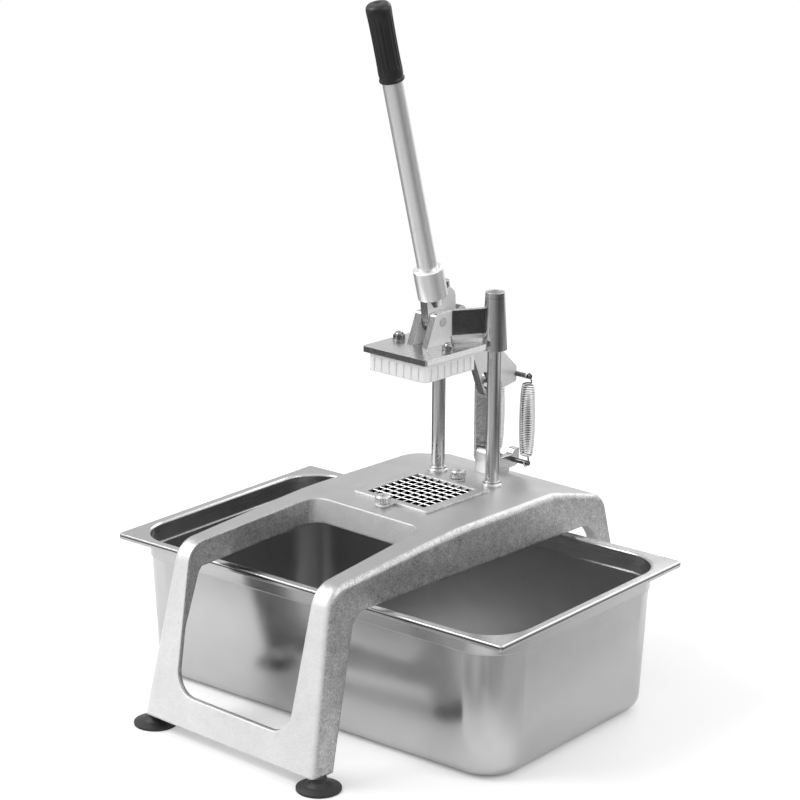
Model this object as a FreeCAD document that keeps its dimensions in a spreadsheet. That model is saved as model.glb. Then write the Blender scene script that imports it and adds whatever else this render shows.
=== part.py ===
import FreeCAD, Part
import math
import os
import re

# Lever french fry cutter on a cast stand, straddling a gastronorm pan.
# Frame: X to the right, Y to the rear, Z up. The origin is on the worktop,
# straight under the middle of the blade grid. Lengths are in millimetres.

V = FreeCAD.Vector
DOC = FreeCAD.newDocument("french_fry_cutter")

SIZES = {
    # gastronorm 1/1 pan
    "pan_length": 530, "pan_width": 325, "pan_depth": 164, "pan_sheet": 1.0,
    "pan_rim_width": 10.4, "pan_rim_lip": 6, "pan_rim_corner": 3, "pan_corner": 46,
    "pan_rim_bend": 3, "pan_shoulder_depth": 22, "pan_shoulder_step": 1.8, "pan_taper": 6,
    "pan_bottom_round": 18, "pan_turn": 3.45, "pan_centre_x": -2.9, "pan_centre_y": -36.3,
    # cast stand
    "plate_top": 218.7, "stand_wall": 5, "stand_half_top": 111.4, "stand_flare": 0.072,
    "foot_level": 14, "leg_lean": 0.2036, "front_foot_y": -299.7, "rear_foot_y": 221.7,
    "front_flat_y": -70.9, "rear_flat_y": 101.2, "front_fall": 0.085, "rear_fall": 0.25,
    "knee_radius": 26.3, "front_crest_radius": 607.5, "rear_crest_radius": 121.5,
    "edge_round": 7, "arch_top": 171.1, "leg_depth_foot": 28.3, "arch_front_lean": 0.273,
    "arch_rear_lean": 0.2, "arch_radius": 20, "window_bottom": 47.1,
    "window_half_bottom": 83, "window_half_knee": 90.6, "window_half_back": 79.5,
    "window_back_y": -85, "window_round": 27, "window_back_round": 20, "knee_y": -253.1,
    "skirt_depth": 28.3, "skirt_wall": 4.5, "skirt_round": 18,
    "rear_gap_half": 84, "rear_gap_top": 160,
    "pad_width": 25, "pad_height": 12,
    # feet
    "foot_edge": 4.64, "foot_inset_y": 12.5, "foot_radius": 23.5, "foot_stud_radius": 3,
    # blade cassette
    "cell_pitch": 10.6, "cell_count": 8, "blade_thick": 0.6, "blade_height": 14,
    "frame_flange": 3, "frame_half_x": 54.5, "frame_half_y": 51, "frame_wall": 4,
    "frame_ring_height": 13, "tab_half": 8.4, "tab_margin": 7, "blade_drop": 0.5,
    # clamp knobs
    "knob_y": 61.8, "knob_radius": 8.8, "knob_height": 9, "knob_flutes": 12,
    "knob_stud_radius": 3,
    # guide columns
    "column_x": 39.9, "column_y": 73.1, "column_radius": 7.5, "column_top": 434,
    "column_tail_radius": 6, "collar_radius": 11.5, "collar_height": 6.5,
    "boss_radius": 15, "boss_bottom": 196.4, "column_nut_height": 9,
    "column_nut_across": 19,
    # sleeves and bushes
    "sleeve_bottom": 375.3, "sleeve_length": 64.2, "sleeve_radius": 14,
    "sleeve_top_radius": 10.6, "bush_wall": 1.1, "bush_length": 16, "bush_inset": 1,
    "bush_screw_radius": 2, "bush_screw_rise": 12,
    # pusher
    "pusher_top": 386, "pusher_half": 46.5, "pusher_front_y": -46,
    "pusher_rear_y": 54, "pusher_thick": 6.3, "pusher_round": 4, "pusher_notch_y": 40,
    "block_height": 20.5, "block_round": 6, "block_groove": 1.6, "block_groove_depth": 15,
    "pusher_stud_x": 35.5, "pusher_stud_y": 1.5, "pusher_stud_radius": 3,
    "pusher_nut_across": 11.5, "pusher_nut_height": 6,
    # carriage ears and arms
    "ear_gap_half": 6.5, "ear_thick": 8, "ear_front_y": -9, "ear_rear_y": 30.5,
    "ear_slant": 14.5, "ear_height": 35.6, "arm_thick": 6, "arm_strip": 4.5, "arm_strip_out": 1.6,
    "arm_lift": 3.4,
    # lever
    "pivot_y": 16.5, "pivot_rise": 25.3, "pivot_radius": 5, "lever_plate": 10,
    "lever_tilt": 15.64, "socket_y": 16.2, "socket_rise": 52.4, "socket_radius": 16.5,
    "arm_waist_in": 31, "arm_waist_rise": 42, "arm_shank_in": 17, "arm_shank_rise": 8,
    "arm_toe_in": 10, "arm_eye_out": 0.5, "arm_shoulder_y": 52, "arm_shoulder_z": 1,
    "arm_lobe_y": 42, "arm_lobe_z": 14, "arm_dip_y": 32, "arm_dip_z": 2,
    "arm_neck_y": 31, "arm_neck_z": 27, "arm_back_y": 21, "arm_back_z": 35,
    "neck_length": 10.5, "neck_top_radius": 12.5, "neck_low_radius": 8.5,
    "socket_length": 34, "socket_floor": 4, "tube_radius": 11, "tube_wall": 2,
    "tube_length": 325, "grip_radius": 13.6, "grip_length": 85, "grip_cap": 6,
    # link and springs
    "link_y": 110.5, "link_pivot_z": 238, "link_length": 79, "link_pin_radius": 5,
    "link_half_width": 11.5, "link_sheet": 3, "link_front": 9, "link_rear": 10.5,
    "link_end": 10.5, "link_web_margin": 8, "stroke": 140,
    "lug_half": 8, "lug_radius": 10, "base_bar_half": 4.5, "base_bolt_radius": 2.5,
    "base_bolt_front_y": 108, "base_bolt_rear_y": 141.8, "base_boss_radius": 7,
    "rod_radius": 2.8, "rod_half_length": 26.2, "upper_rod_y": 154, "upper_rod_z": 324.6,
    "lower_rod_y": 154, "lower_rod_z": 222.6, "eye_radius": 8.8,
    "spring_x": 22.4, "spring_wire": 1.8, "spring_mid_radius": 8.4,
    "spring_end_radius": 5.2, "spring_turns": 31, "spring_hook_gap": 0.3,
    "spring_hook_reach": 9,
    # clearances
    "running_gap": 0.06, "seat_gap": 0.05, "loose_gap": 0.5,
}

sheet = DOC.addObject("Spreadsheet::Sheet", "Sizes")
for row, (alias, number) in enumerate(SIZES.items(), start=1):
    sheet.set("A%d" % row, alias)
    sheet.set("B%d" % row, str(number))
    sheet.setAlias("B%d" % row, alias)
DOC.recompute()


class SheetValues:
    """Reads a size from the sheet by its alias."""

    def __getattr__(self, alias):
        return float(sheet.get(alias))


s = SheetValues()


# Helpers for bound features

def bind(feature, prop, formula):
    """Bind a property to a formula on the sheet's aliases, or set a plain number."""
    if not isinstance(formula, str):
        formula = repr(float(formula))
    words = re.sub(r"[a-z][a-z_]*", lambda m: "Sizes." + m.group(0)
                   if m.group(0) in SIZES else m.group(0), formula)
    feature.setExpression(prop, words)


def place(feature, at, turn=None):
    """Place a feature at three formulas, turned about an axis first."""
    if turn:
        feature.Placement = FreeCAD.Placement(V(0, 0, 0), FreeCAD.Rotation(*turn))
    for letter, formula in zip("xyz", at):
        bind(feature, "Placement.Base." + letter, formula)


def cylinder(name, radius, height, at, turn=None):
    feature = DOC.addObject("Part::Cylinder", name)
    bind(feature, "Radius", radius)
    bind(feature, "Height", height)
    place(feature, at, turn)
    return feature


def hexagon(name, across, height, at):
    """Hexagonal prism, as a nut or a bolt head, by its width across flats."""
    feature = DOC.addObject("Part::Prism", name)
    feature.Polygon = 6
    bind(feature, "Circumradius", "(%s) / sqrt(3)" % across)
    bind(feature, "Height", height)
    place(feature, at)
    return feature


def fuse(name, features):
    feature = DOC.addObject("Part::MultiFuse", name)
    feature.Shapes = features
    return feature


def cut(name, base, tool):
    feature = DOC.addObject("Part::Cut", name)
    feature.Base = base
    feature.Tool = tool
    return feature


def group(name, features):
    """Several separate solids under one name."""
    feature = DOC.addObject("Part::Compound", name)
    feature.Links = features
    return feature


def shaped(name, shape, placement=None):
    feature = DOC.addObject("Part::Feature", name)
    feature.Shape = shape
    if placement:
        feature.Placement = placement
    return feature


def origin_plane(body, role):
    for part in body.Origin.OriginFeatures:
        if part.Role == role:
            return part


def point_constraints(sketch, index, place_on, name):
    """Hold one vertex of a sketch by its two distances from the sketch's origin."""
    for axis, letter, formula in zip(("DistanceX", "DistanceY"), "ab", place_on):
        if formula == 0:
            line = -2 if axis == "DistanceX" else -1
            sketch.addConstraint(Sketch("PointOnObject", index, 1, line))
            continue
        value = sketch.getPoint(index, 1)
        start = value.x if axis == "DistanceX" else value.y
        number = sketch.addConstraint(Sketch(axis, -1, 1, index, 1, start))
        sketch.renameConstraint(number, name + letter)
        bind(sketch, "Constraints." + name + letter, formula)


def Sketch(*words):
    import Sketcher
    return Sketcher.Constraint(*words)


def polygon_sketch(body, name, role, points, numbers):
    """Closed polygon whose vertices are bound to formulas; numbers are its start values."""
    sketch = body.newObject("Sketcher::SketchObject", name)
    sketch.AttachmentSupport = [(origin_plane(body, role), "")]
    sketch.MapMode = "FlatFace"
    count = len(points)
    for i in range(count):
        sketch.addGeometry(Part.LineSegment(V(*numbers[i], 0), V(*numbers[(i + 1) % count], 0)))
    for i in range(count):
        sketch.addConstraint(Sketch("Coincident", i, 2, (i + 1) % count, 1))
    for i in range(count):
        point_constraints(sketch, i, points[i], "corner%d" % i)
    return sketch


def lathe(name, points, numbers, at, turn=None):
    """Body turned about its Z axis from a profile of radius and height formulas."""
    body = DOC.addObject("PartDesign::Body", name)
    sketch = polygon_sketch(body, name + "_profile", "XZ_Plane", points, numbers)
    turned = body.newObject("PartDesign::Revolution", name + "_turned")
    turned.Profile = sketch
    turned.ReferenceAxis = (sketch, ["V_Axis"])
    turned.Angle = 360
    place(body, at, turn)
    return body


# Helpers for shapes drawn from the sheet's numbers

def corner(before, at, after, radius):
    """Entry, middle and exit of a rounded corner."""
    if radius <= 0:
        return at, None, at
    u, w = (before - at).normalize(), (after - at).normalize()
    half = u.getAngle(w) / 2
    run = radius / math.tan(half)
    toward = (u + w).normalize()
    middle = at + toward * (radius / math.sin(half) - radius)
    return at + u * run, middle, at + w * run


def outline(points, radii, plane):
    """Closed wire through flat points with rounded corners, in plane xy, yz or xz."""
    lift = {"xy": lambda p: V(p.x, p.y, 0), "yz": lambda p: V(0, p.x, p.y),
            "xz": lambda p: V(p.x, 0, p.y)}[plane]
    flat = [V(a, b, 0) for a, b in points]
    count = len(flat)
    if not isinstance(radii, (list, tuple)):
        radii = [radii] * count
    corners = [corner(flat[i - 1], flat[i], flat[(i + 1) % count], radii[i]) for i in range(count)]
    edges = []
    for i in range(count):
        entry, middle, leave = corners[i]
        start = corners[i - 1][2]
        if start.distanceToPoint(entry) > 1e-6:
            edges.append(Part.LineSegment(lift(start), lift(entry)).toShape())
        if middle:
            edges.append(Part.Arc(lift(entry), lift(middle), lift(leave)).toShape())
    return Part.Wire(Part.__sortEdges__(edges))


def prism(points, radii, plane, low, high):
    """Solid of an outline, reaching from low to high along the axis square to its plane."""
    along = {"xy": V(0, 0, 1), "yz": V(1, 0, 0), "xz": V(0, 1, 0)}[plane]
    face = Part.Face(outline(points, radii, plane))
    face.translate(along * low)
    return face.extrude(along * (high - low))


def rectangle(half_x, half_y):
    return [(-half_x, -half_y), (half_x, -half_y), (half_x, half_y), (-half_x, half_y)]


def drum(radius, low, high, x=0.0, y=0.0):
    return Part.makeCylinder(radius, high - low, V(x, y, low), V(0, 0, 1))


def cross_drum(radius, half, y, z):
    """Cylinder along X, centred on the middle plane."""
    return Part.makeCylinder(radius, 2 * half, V(-half, y, z), V(1, 0, 0))


def meet(p, u, q, w):
    """Point where two flat lines cross."""
    k = ((q[0] - p[0]) * w[1] - (q[1] - p[1]) * w[0]) / (u[0] * w[1] - u[1] * w[0])
    return (p[0] + u[0] * k, p[1] + u[1] * k)


def mirrored(shape):
    return shape.mirror(V(0, 0, 0), V(1, 0, 0))


# Cast stand

def side_lines(inset):
    """The five straight runs of the side outline, moved inward by inset."""
    runs = [((s.front_foot_y, s.foot_level), (s.leg_lean, 1), (1, -s.leg_lean)),
            ((s.front_flat_y, s.plate_top), (1, s.front_fall), (s.front_fall, -1)),
            ((s.front_flat_y, s.plate_top), (1, 0), (0, -1)),
            ((s.rear_flat_y, s.plate_top), (1, -s.rear_fall), (-s.rear_fall, -1)),
            ((s.rear_foot_y, s.foot_level), (-s.leg_lean, 1), (-1, -s.leg_lean))]
    moved = []
    for (y, z), way, inward in runs:
        size = math.hypot(*inward)
        moved.append(((y + inward[0] / size * inset, z + inward[1] / size * inset), way))
    return moved


def side_outline(inset, bottom):
    """Corners and radii of the side outline down to the height called bottom."""
    runs = side_lines(inset)
    floor = ((0, bottom), (1, 0))
    runs = [floor] + runs + [floor]
    corners = [meet(*runs[i], *runs[i + 1]) for i in range(len(runs) - 1)]
    radii = [0, s.knee_radius - inset, s.front_crest_radius, s.rear_crest_radius - inset,
             s.knee_radius - inset, 0]
    return corners, radii


def front_outline(inset, bottom):
    def half(z):
        return s.stand_half_top + (s.plate_top - z) * s.stand_flare - inset
    top = s.plate_top + s.stand_wall
    return [(-half(bottom), bottom), (half(bottom), bottom), (half(top), top), (-half(top), top)]


def stand_block(inset, bottom):
    """The stand's outer form, or its hollow when inset is the wall."""
    reach = s.stand_half_top * 2
    side = prism(*side_outline(inset, bottom), "yz", -reach, reach)
    front = prism(front_outline(inset, bottom), 0, "xz", s.front_foot_y * 2, s.rear_foot_y * 2)
    return side.common(front)


def rounded_block():
    """Outer form with its long side edges rounded."""
    block = stand_block(0, s.foot_level)
    edges = []
    for edge in block.Edges:
        middle = edge.valueAt((edge.FirstParameter + edge.LastParameter) / 2)
        half = s.stand_half_top + (s.plate_top - middle.z) * s.stand_flare
        if abs(abs(middle.x) - half) < 0.2 and middle.z > s.foot_level + 1:
            edges.append(edge)
    return block.makeFillet(s.edge_round, edges)


def window_plan(margin):
    """Plan of the opening over the knee, grown by margin."""
    back, knee = s.window_half_back + margin, s.window_half_knee + margin
    points = [(-knee, s.front_foot_y * 1.2), (knee, s.front_foot_y * 1.2), (knee, s.knee_y),
              (back, s.window_back_y + margin), (-back, s.window_back_y + margin),
              (-knee, s.knee_y)]
    bend = s.window_back_round * 6
    round_back = s.window_back_round + margin
    return points, [0, 0, bend, round_back, round_back, bend]


def stand_casting():
    outer = rounded_block()
    inner = stand_block(s.stand_wall, -s.foot_level)
    shell = outer.cut(inner)

    # openings: under the arch at both sides, over the knee, in front and behind
    reach = s.stand_half_top * 2
    low = -s.foot_level
    front_y = s.front_foot_y + s.leg_depth_foot
    rear_y = s.rear_foot_y - s.leg_depth_foot
    rise = s.arch_top - s.foot_level
    drop = s.foot_level - low
    arch = [(front_y - drop * s.arch_front_lean, low), (front_y + rise * s.arch_front_lean, s.arch_top),
            (rear_y - rise * s.arch_rear_lean, s.arch_top), (rear_y + drop * s.arch_rear_lean, low)]
    under_arch = prism(arch, [0, s.arch_radius, s.arch_radius, 0], "yz", -reach, reach)
    knee_top = s.plate_top - s.skirt_depth
    above = s.plate_top + s.stand_wall
    over_knee = prism(*window_plan(0), "xy", knee_top, above)
    front_hole = prism(
        [(-s.window_half_bottom, s.window_bottom), (s.window_half_bottom, s.window_bottom),
         (s.window_half_knee, knee_top + 1), (-s.window_half_knee, knee_top + 1)],
        [s.window_round, s.window_round, 0, 0], "xz", s.front_foot_y * 1.2, s.knee_y + s.stand_wall)
    rear_hole = prism(
        [(-s.rear_gap_half, low), (s.rear_gap_half, low), (s.rear_gap_half, s.rear_gap_top),
         (-s.rear_gap_half, s.rear_gap_top)],
        [0, 0, s.window_round, s.window_round], "xz", rear_y - rise * s.arch_rear_lean, reach * 1.2)
    holes = [under_arch, over_knee, front_hole, rear_hole]

    # skirt round the opening over the knee
    front_run, slope_run = side_lines(s.stand_wall)[0], side_lines(s.skirt_depth)[1]
    turn = meet(*front_run, *slope_run)
    foot = meet(*front_run, (0, low), (1, 0))
    back = meet(*slope_run, (s.window_back_y + reach, 0), (0, 1))
    void = prism([foot, turn, back, (back[0], low)], [0, s.skirt_round, 0, 0], "yz", -reach, reach)
    skirt = prism(*window_plan(s.skirt_wall), "xy", s.window_bottom, above)
    skirt = skirt.cut(prism(*window_plan(0), "xy", s.window_bottom, above))
    skirt = skirt.common(outer).cut(void)

    # pads at the feet of the legs, and bosses under the plate
    solids = [skirt]
    for y_low, y_high in ((s.front_foot_y, front_y), (rear_y, s.rear_foot_y)):
        half = s.stand_half_top + (s.plate_top - s.foot_level) * s.stand_flare
        for side in (-1, 1):
            x_low = min(side * half, side * (half - s.pad_width))
            pad = Part.makeBox(s.pad_width, y_high - y_low, s.pad_height, V(x_low, y_low, s.foot_level))
            solids.append(pad.common(outer))
    deep = s.plate_top - s.stand_wall / 2
    for side in (-1, 1):
        solids.append(drum(s.boss_radius, s.boss_bottom, deep, side * s.column_x, s.column_y))
        solids.append(drum(s.knob_radius, s.boss_bottom, deep, 0, side * s.knob_y))
    for y in (s.base_bolt_front_y, s.base_bolt_rear_y):
        post = drum(s.base_boss_radius, s.boss_bottom, above, 0, y)
        solids.append(post.common(outer))

    bores = [Part.makeBox(*[2 * ring_half() + 2 * s.loose_gap] * 2, 2 * s.stand_wall + 2,
                          V(-ring_half() - s.loose_gap, -ring_half() - s.loose_gap,
                            s.plate_top - 2 * s.stand_wall - 1))]
    tail = s.column_tail_radius + s.seat_gap
    for side in (-1, 1):
        bores.append(drum(tail, low, above, side * s.column_x, s.column_y))
        bores.append(drum(s.knob_stud_radius + s.seat_gap, low, above, 0, side * s.knob_y))
        for y in foot_rows():
            bores.append(drum(s.foot_stud_radius + s.seat_gap, low,
                              s.foot_level + s.pad_height - 2 + s.seat_gap, side * foot_across(), y))
    for y in (s.base_bolt_front_y, s.base_bolt_rear_y):
        bores.append(drum(s.base_bolt_radius + s.seat_gap, low, above, 0, y))
    shell = shell.cut(holes)
    casting = shell.fuse(solids).cut(bores)
    return casting.removeSplitter()


def ring_half():
    return s.cell_pitch * s.cell_count / 2 + s.frame_wall


def foot_across():
    """Distance of the feet from the middle plane."""
    return s.stand_half_top + (s.plate_top - s.foot_level) * s.stand_flare - s.foot_edge


def foot_rows():
    return (s.front_foot_y + s.foot_inset_y, s.rear_foot_y - s.foot_inset_y)


def build_feet():
    points = [(0, 0), ("foot_radius", 0), ("foot_radius", 2.5), ("foot_radius * 0.62", 5.5),
              ("foot_radius * 0.4", 9), ("foot_radius * 0.34", "foot_level"),
              ("foot_stud_radius + seat_gap", "foot_level"), ("foot_stud_radius + seat_gap", 5), (0, 5)]
    numbers = [(0, 0), (23, 0), (23, 2.5), (14, 5.5), (9, 9), (8, 14), (3, 14), (3, 5), (0, 5)]
    rows = (("front", "front_foot_y + foot_inset_y"), ("rear", "rear_foot_y - foot_inset_y"))
    studs = []
    across = "(stand_half_top + (plate_top - foot_level) * stand_flare - foot_edge)"
    for row, y in rows:
        for side, x in (("left", "-" + across), ("right", across)):
            lathe("%s_%s_foot" % (row, side), points, numbers, (x, y, 0))
            mark = row + "_" + side
            studs.append(cylinder("stud_" + mark, "foot_stud_radius",
                                  "foot_level + pad_height - 2 - 5", (x, y, 5)))
    group("foot_studs", studs)


# Blade cassette

def blade_rows():
    half = (s.cell_count - 2) / 2 * s.cell_pitch
    return [i * s.cell_pitch - half for i in range(int(s.cell_count) - 1)]


def blade_span():
    """Half length, bottom and top of a blade."""
    half = s.cell_pitch * s.cell_count / 2 + s.frame_wall - 1
    top = s.plate_top + s.frame_flange - s.blade_drop
    return half, top - s.blade_height, top


def blade_frame():
    tab_y = s.knob_y + s.tab_margin
    flange_low, flange_top = s.plate_top, s.plate_top + s.frame_flange
    flange = prism(rectangle(s.frame_half_x, s.frame_half_y), s.tab_margin / 2, "xy",
                   flange_low, flange_top)
    tabs = prism(rectangle(s.tab_half, tab_y), s.tab_margin, "xy", flange_low, flange_top)
    ring = prism(rectangle(ring_half(), ring_half()), 1, "xy",
                 flange_low - s.frame_ring_height, flange_top)
    inner = s.cell_pitch * s.cell_count / 2
    hole = prism(rectangle(inner, inner), 0, "xy", 0, flange_top + 1)
    body = flange.fuse([tabs, ring]).cut(hole)
    cuts = []
    half, low, top = blade_span()
    slot = s.blade_thick / 2 + s.seat_gap
    for place_on in blade_rows():
        for turn in (0, 90):
            strip = Part.makeBox(2 * half, 2 * slot, top + s.seat_gap, V(-half, place_on - slot, 0))
            strip.rotate(V(0, 0, 0), V(0, 0, 1), turn)
            cuts.append(strip)
    for side in (-1, 1):
        cuts.append(drum(s.knob_stud_radius + s.loose_gap, 0, flange_top + 1, 0, side * s.knob_y))
    return body.cut(cuts).removeSplitter()


def blade_set(turn, from_top):
    """Seven strips, each notched half way where it crosses the other set."""
    half, low, top = blade_span()
    middle = (low + top) / 2
    strips = []
    for place_on in blade_rows():
        strip = Part.makeBox(2 * half, s.blade_thick, top - low,
                             V(-half, place_on - s.blade_thick / 2, low))
        notches = []
        for cross in blade_rows():
            gap = s.blade_thick / 2 + s.seat_gap
            start = middle - s.seat_gap if from_top else low - 1
            notches.append(Part.makeBox(2 * gap, s.blade_thick + 2, (top - low) / 2 + 1,
                                        V(cross - gap, place_on - s.blade_thick / 2 - 1, start)))
        strip = strip.cut(notches)
        strip.rotate(V(0, 0, 0), V(0, 0, 1), turn)
        strips.append(strip)
    return Part.makeCompound(strips)


def build_knobs():
    studs = []
    for name, y in (("front", "-knob_y"), ("rear", "knob_y")):
        studs.append(cylinder("stud_" + name, "knob_stud_radius",
                              "plate_top - boss_bottom + frame_flange + knob_height + 1",
                              (0, y, "boss_bottom")))
        points = [("knob_stud_radius + running_gap", 0), ("knob_radius * 0.85", 0),
                  ("knob_radius", 1.5), ("knob_radius", "knob_height - 1.5"),
                  ("knob_radius * 0.85", "knob_height"),
                  ("knob_stud_radius + running_gap", "knob_height")]
        numbers = [(3, 0), (7.5, 0), (8.8, 1.5), (8.8, 7.5), (7.5, 9), (3, 9)]
        body = lathe(name + "_blade_knob", points, numbers,
                     (0, y, "plate_top + frame_flange + seat_gap"))
        DOC.recompute()
        sketch = body.newObject("Sketcher::SketchObject", name + "_flute_sketch")
        sketch.AttachmentSupport = [(origin_plane(body, "XY_Plane"), "")]
        sketch.MapMode = "FlatFace"
        sketch.addGeometry(Part.Circle(V(9.6, 0, 0), V(0, 0, 1), 1.2))
        sketch.addConstraint(Sketch("PointOnObject", 0, 3, -1))
        sketch.addConstraint(Sketch("DistanceX", -1, 1, 0, 3, 9.6))
        sketch.renameConstraint(1, "flute_centre")
        bind(sketch, "Constraints.flute_centre", "knob_radius * 1.09")
        sketch.addConstraint(Sketch("Radius", 0, 1.2))
        sketch.renameConstraint(2, "flute_radius")
        bind(sketch, "Constraints.flute_radius", "knob_radius * 0.14")
        flute = body.newObject("PartDesign::Pocket", name + "_flute")
        flute.Profile = sketch
        flute.Type = 1
        flute.Reversed = True
        ring = body.newObject("PartDesign::PolarPattern", name + "_flutes")
        ring.Originals = [flute]
        ring.Axis = (sketch, ["N_Axis"])
        ring.Angle = 360
        bind(ring, "Occurrences", "knob_flutes")
        body.Tip = ring
    group("knob_studs", studs)


# Guide columns, their collars and nuts

def build_columns():
    nuts = []
    for name, x in (("left", "-column_x"), ("right", "column_x")):
        tail = "-(plate_top - boss_bottom + column_nut_height + 2)"
        points = [(0, tail), ("column_tail_radius", tail), ("column_tail_radius", 0),
                  ("column_radius", 0), ("column_radius", "column_top - plate_top - 1"),
                  ("column_radius - 1", "column_top - plate_top"), (0, "column_top - plate_top")]
        numbers = [(0, -33), (6, -33), (6, 0), (7.5, 0), (7.5, 209), (6.5, 210), (0, 210)]
        lathe(name + "_column", points, numbers, (x, "column_y", "plate_top"))
        bore = "column_radius + seat_gap"
        points = [(bore, 0), ("collar_radius", 0), ("collar_radius", "collar_height * 0.4"),
                  ("collar_radius - 1.5", "collar_height * 0.55"),
                  ("collar_radius - 2", "collar_height"), (bore, "collar_height")]
        numbers = [(7.6, 0), (11.5, 0), (11.5, 2.6), (10, 3.6), (9.5, 6.5), (7.6, 6.5)]
        lathe(name + "_column_collar", points, numbers, (x, "column_y", "plate_top"))
        low = "boss_bottom - column_nut_height"
        blank = hexagon("column_nut_blank_" + name, "column_nut_across", "column_nut_height",
                        (x, "column_y", low))
        hole = cylinder("column_nut_bore_" + name, "column_tail_radius + seat_gap",
                        "column_nut_height + 2", (x, "column_y", low + " - 1"))
        nuts.append(cut("column_nut_" + name, blank, hole))
    group("column_nuts", nuts)


# Pusher, its carriage and sleeves

def build_pusher_plate():
    body = DOC.addObject("PartDesign::Body", "pusher_plate")
    half, front, rear = "pusher_half", "pusher_front_y", "pusher_rear_y"
    notch = "(lever_plate / 2 + loose_gap)"
    end = "pusher_notch_y"
    points = [("-" + half, front), (half, front), (half, rear), (notch, rear), (notch, end),
              ("-" + notch, end), ("-" + notch, rear), ("-" + half, rear)]
    slot = s.lever_plate / 2 + s.loose_gap
    sketch = polygon_sketch(body, "plate_profile", "XY_Plane", points,
                            [(-s.pusher_half, s.pusher_front_y), (s.pusher_half, s.pusher_front_y),
                             (s.pusher_half, s.pusher_rear_y), (slot, s.pusher_rear_y),
                             (slot, s.pusher_notch_y), (-slot, s.pusher_notch_y),
                             (-slot, s.pusher_rear_y), (-s.pusher_half, s.pusher_rear_y)])
    pad = body.newObject("PartDesign::Pad", "plate_pad")
    pad.Profile = sketch
    bind(pad, "Length", "pusher_thick")
    DOC.recompute()
    upright = [("Edge%d" % (i + 1)) for i, edge in enumerate(pad.Shape.Edges)
               if abs(edge.tangentAt(edge.FirstParameter).z) > 0.99
               and abs(edge.valueAt(edge.FirstParameter).x) > 0.9 * s.pusher_half]
    corners = body.newObject("PartDesign::Fillet", "plate_corners")
    corners.Base = (pad, upright)
    bind(corners, "Radius", "pusher_round")
    DOC.recompute()
    holes = body.newObject("Sketcher::SketchObject", "plate_hole_sketch")
    holes.AttachmentSupport = [(origin_plane(body, "XY_Plane"), "")]
    holes.MapMode = "FlatFace"
    for index, (mark, x, start) in enumerate((("left", "-pusher_stud_x", -34),
                                              ("right", "pusher_stud_x", 34))):
        holes.addGeometry(Part.Circle(V(start, 6, 0), V(0, 0, 1), 3.1))
        for kind, value, formula in (("DistanceX", start, x), ("DistanceY", 6, "pusher_stud_y")):
            number = holes.addConstraint(Sketch(kind, -1, 1, index, 3, value))
            holes.renameConstraint(number, mark + kind)
            bind(holes, "Constraints." + mark + kind, formula)
        number = holes.addConstraint(Sketch("Radius", index, 3.1))
        holes.renameConstraint(number, mark + "bore")
        bind(holes, "Constraints." + mark + "bore", "pusher_stud_radius + seat_gap")
    drilled = body.newObject("PartDesign::Pocket", "plate_holes")
    drilled.Profile = holes
    drilled.Type = 1
    drilled.Reversed = True
    place(body, (0, 0, "pusher_top - pusher_thick"))


def block_half():
    return (s.cell_pitch * s.cell_count - s.block_groove) / 2


def pusher_block():
    """Plastic block cut into a grid of square teeth that match the blade cells."""
    top = s.pusher_top - s.pusher_thick
    low = top - s.block_height
    half = block_half()
    block = prism(rectangle(half, half), s.block_round, "xy", low, top)
    cuts = []
    for place_on in blade_rows():
        for turn in (0, 90):
            groove = Part.makeBox(4 * half, s.block_groove, s.block_groove_depth + 1,
                                  V(-2 * half, place_on - s.block_groove / 2, low - 1))
            groove.rotate(V(0, 0, 0), V(0, 0, 1), turn)
            cuts.append(groove)
    for side in (-1, 1):
        cuts.append(drum(s.pusher_stud_radius + s.seat_gap, top - s.block_height / 2, top + 1,
                         side * s.pusher_stud_x, s.pusher_stud_y))
    return block.cut(cuts)


def build_pusher_fasteners():
    studs, nuts = [], []
    for mark, x in (("left", "-pusher_stud_x"), ("right", "pusher_stud_x")):
        studs.append(cylinder("pusher_stud_" + mark, "pusher_stud_radius",
                              "block_height / 2 + pusher_thick + pusher_nut_height + 2",
                              (x, "pusher_stud_y", "pusher_top - pusher_thick - block_height / 2")))
        blank = hexagon("pusher_nut_blank_" + mark, "pusher_nut_across", "pusher_nut_height",
                        (x, "pusher_stud_y", "pusher_top"))
        hole = cylinder("pusher_nut_bore_" + mark, "pusher_stud_radius + seat_gap",
                        "pusher_nut_height + 2", (x, "pusher_stud_y", "pusher_top - 1"))
        nuts.append(cut("pusher_nut_" + mark, blank, hole))
    group("pusher_studs", studs)
    group("pusher_nuts", nuts)


def pivot():
    return s.pivot_y, s.pusher_top + s.pivot_rise


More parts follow.
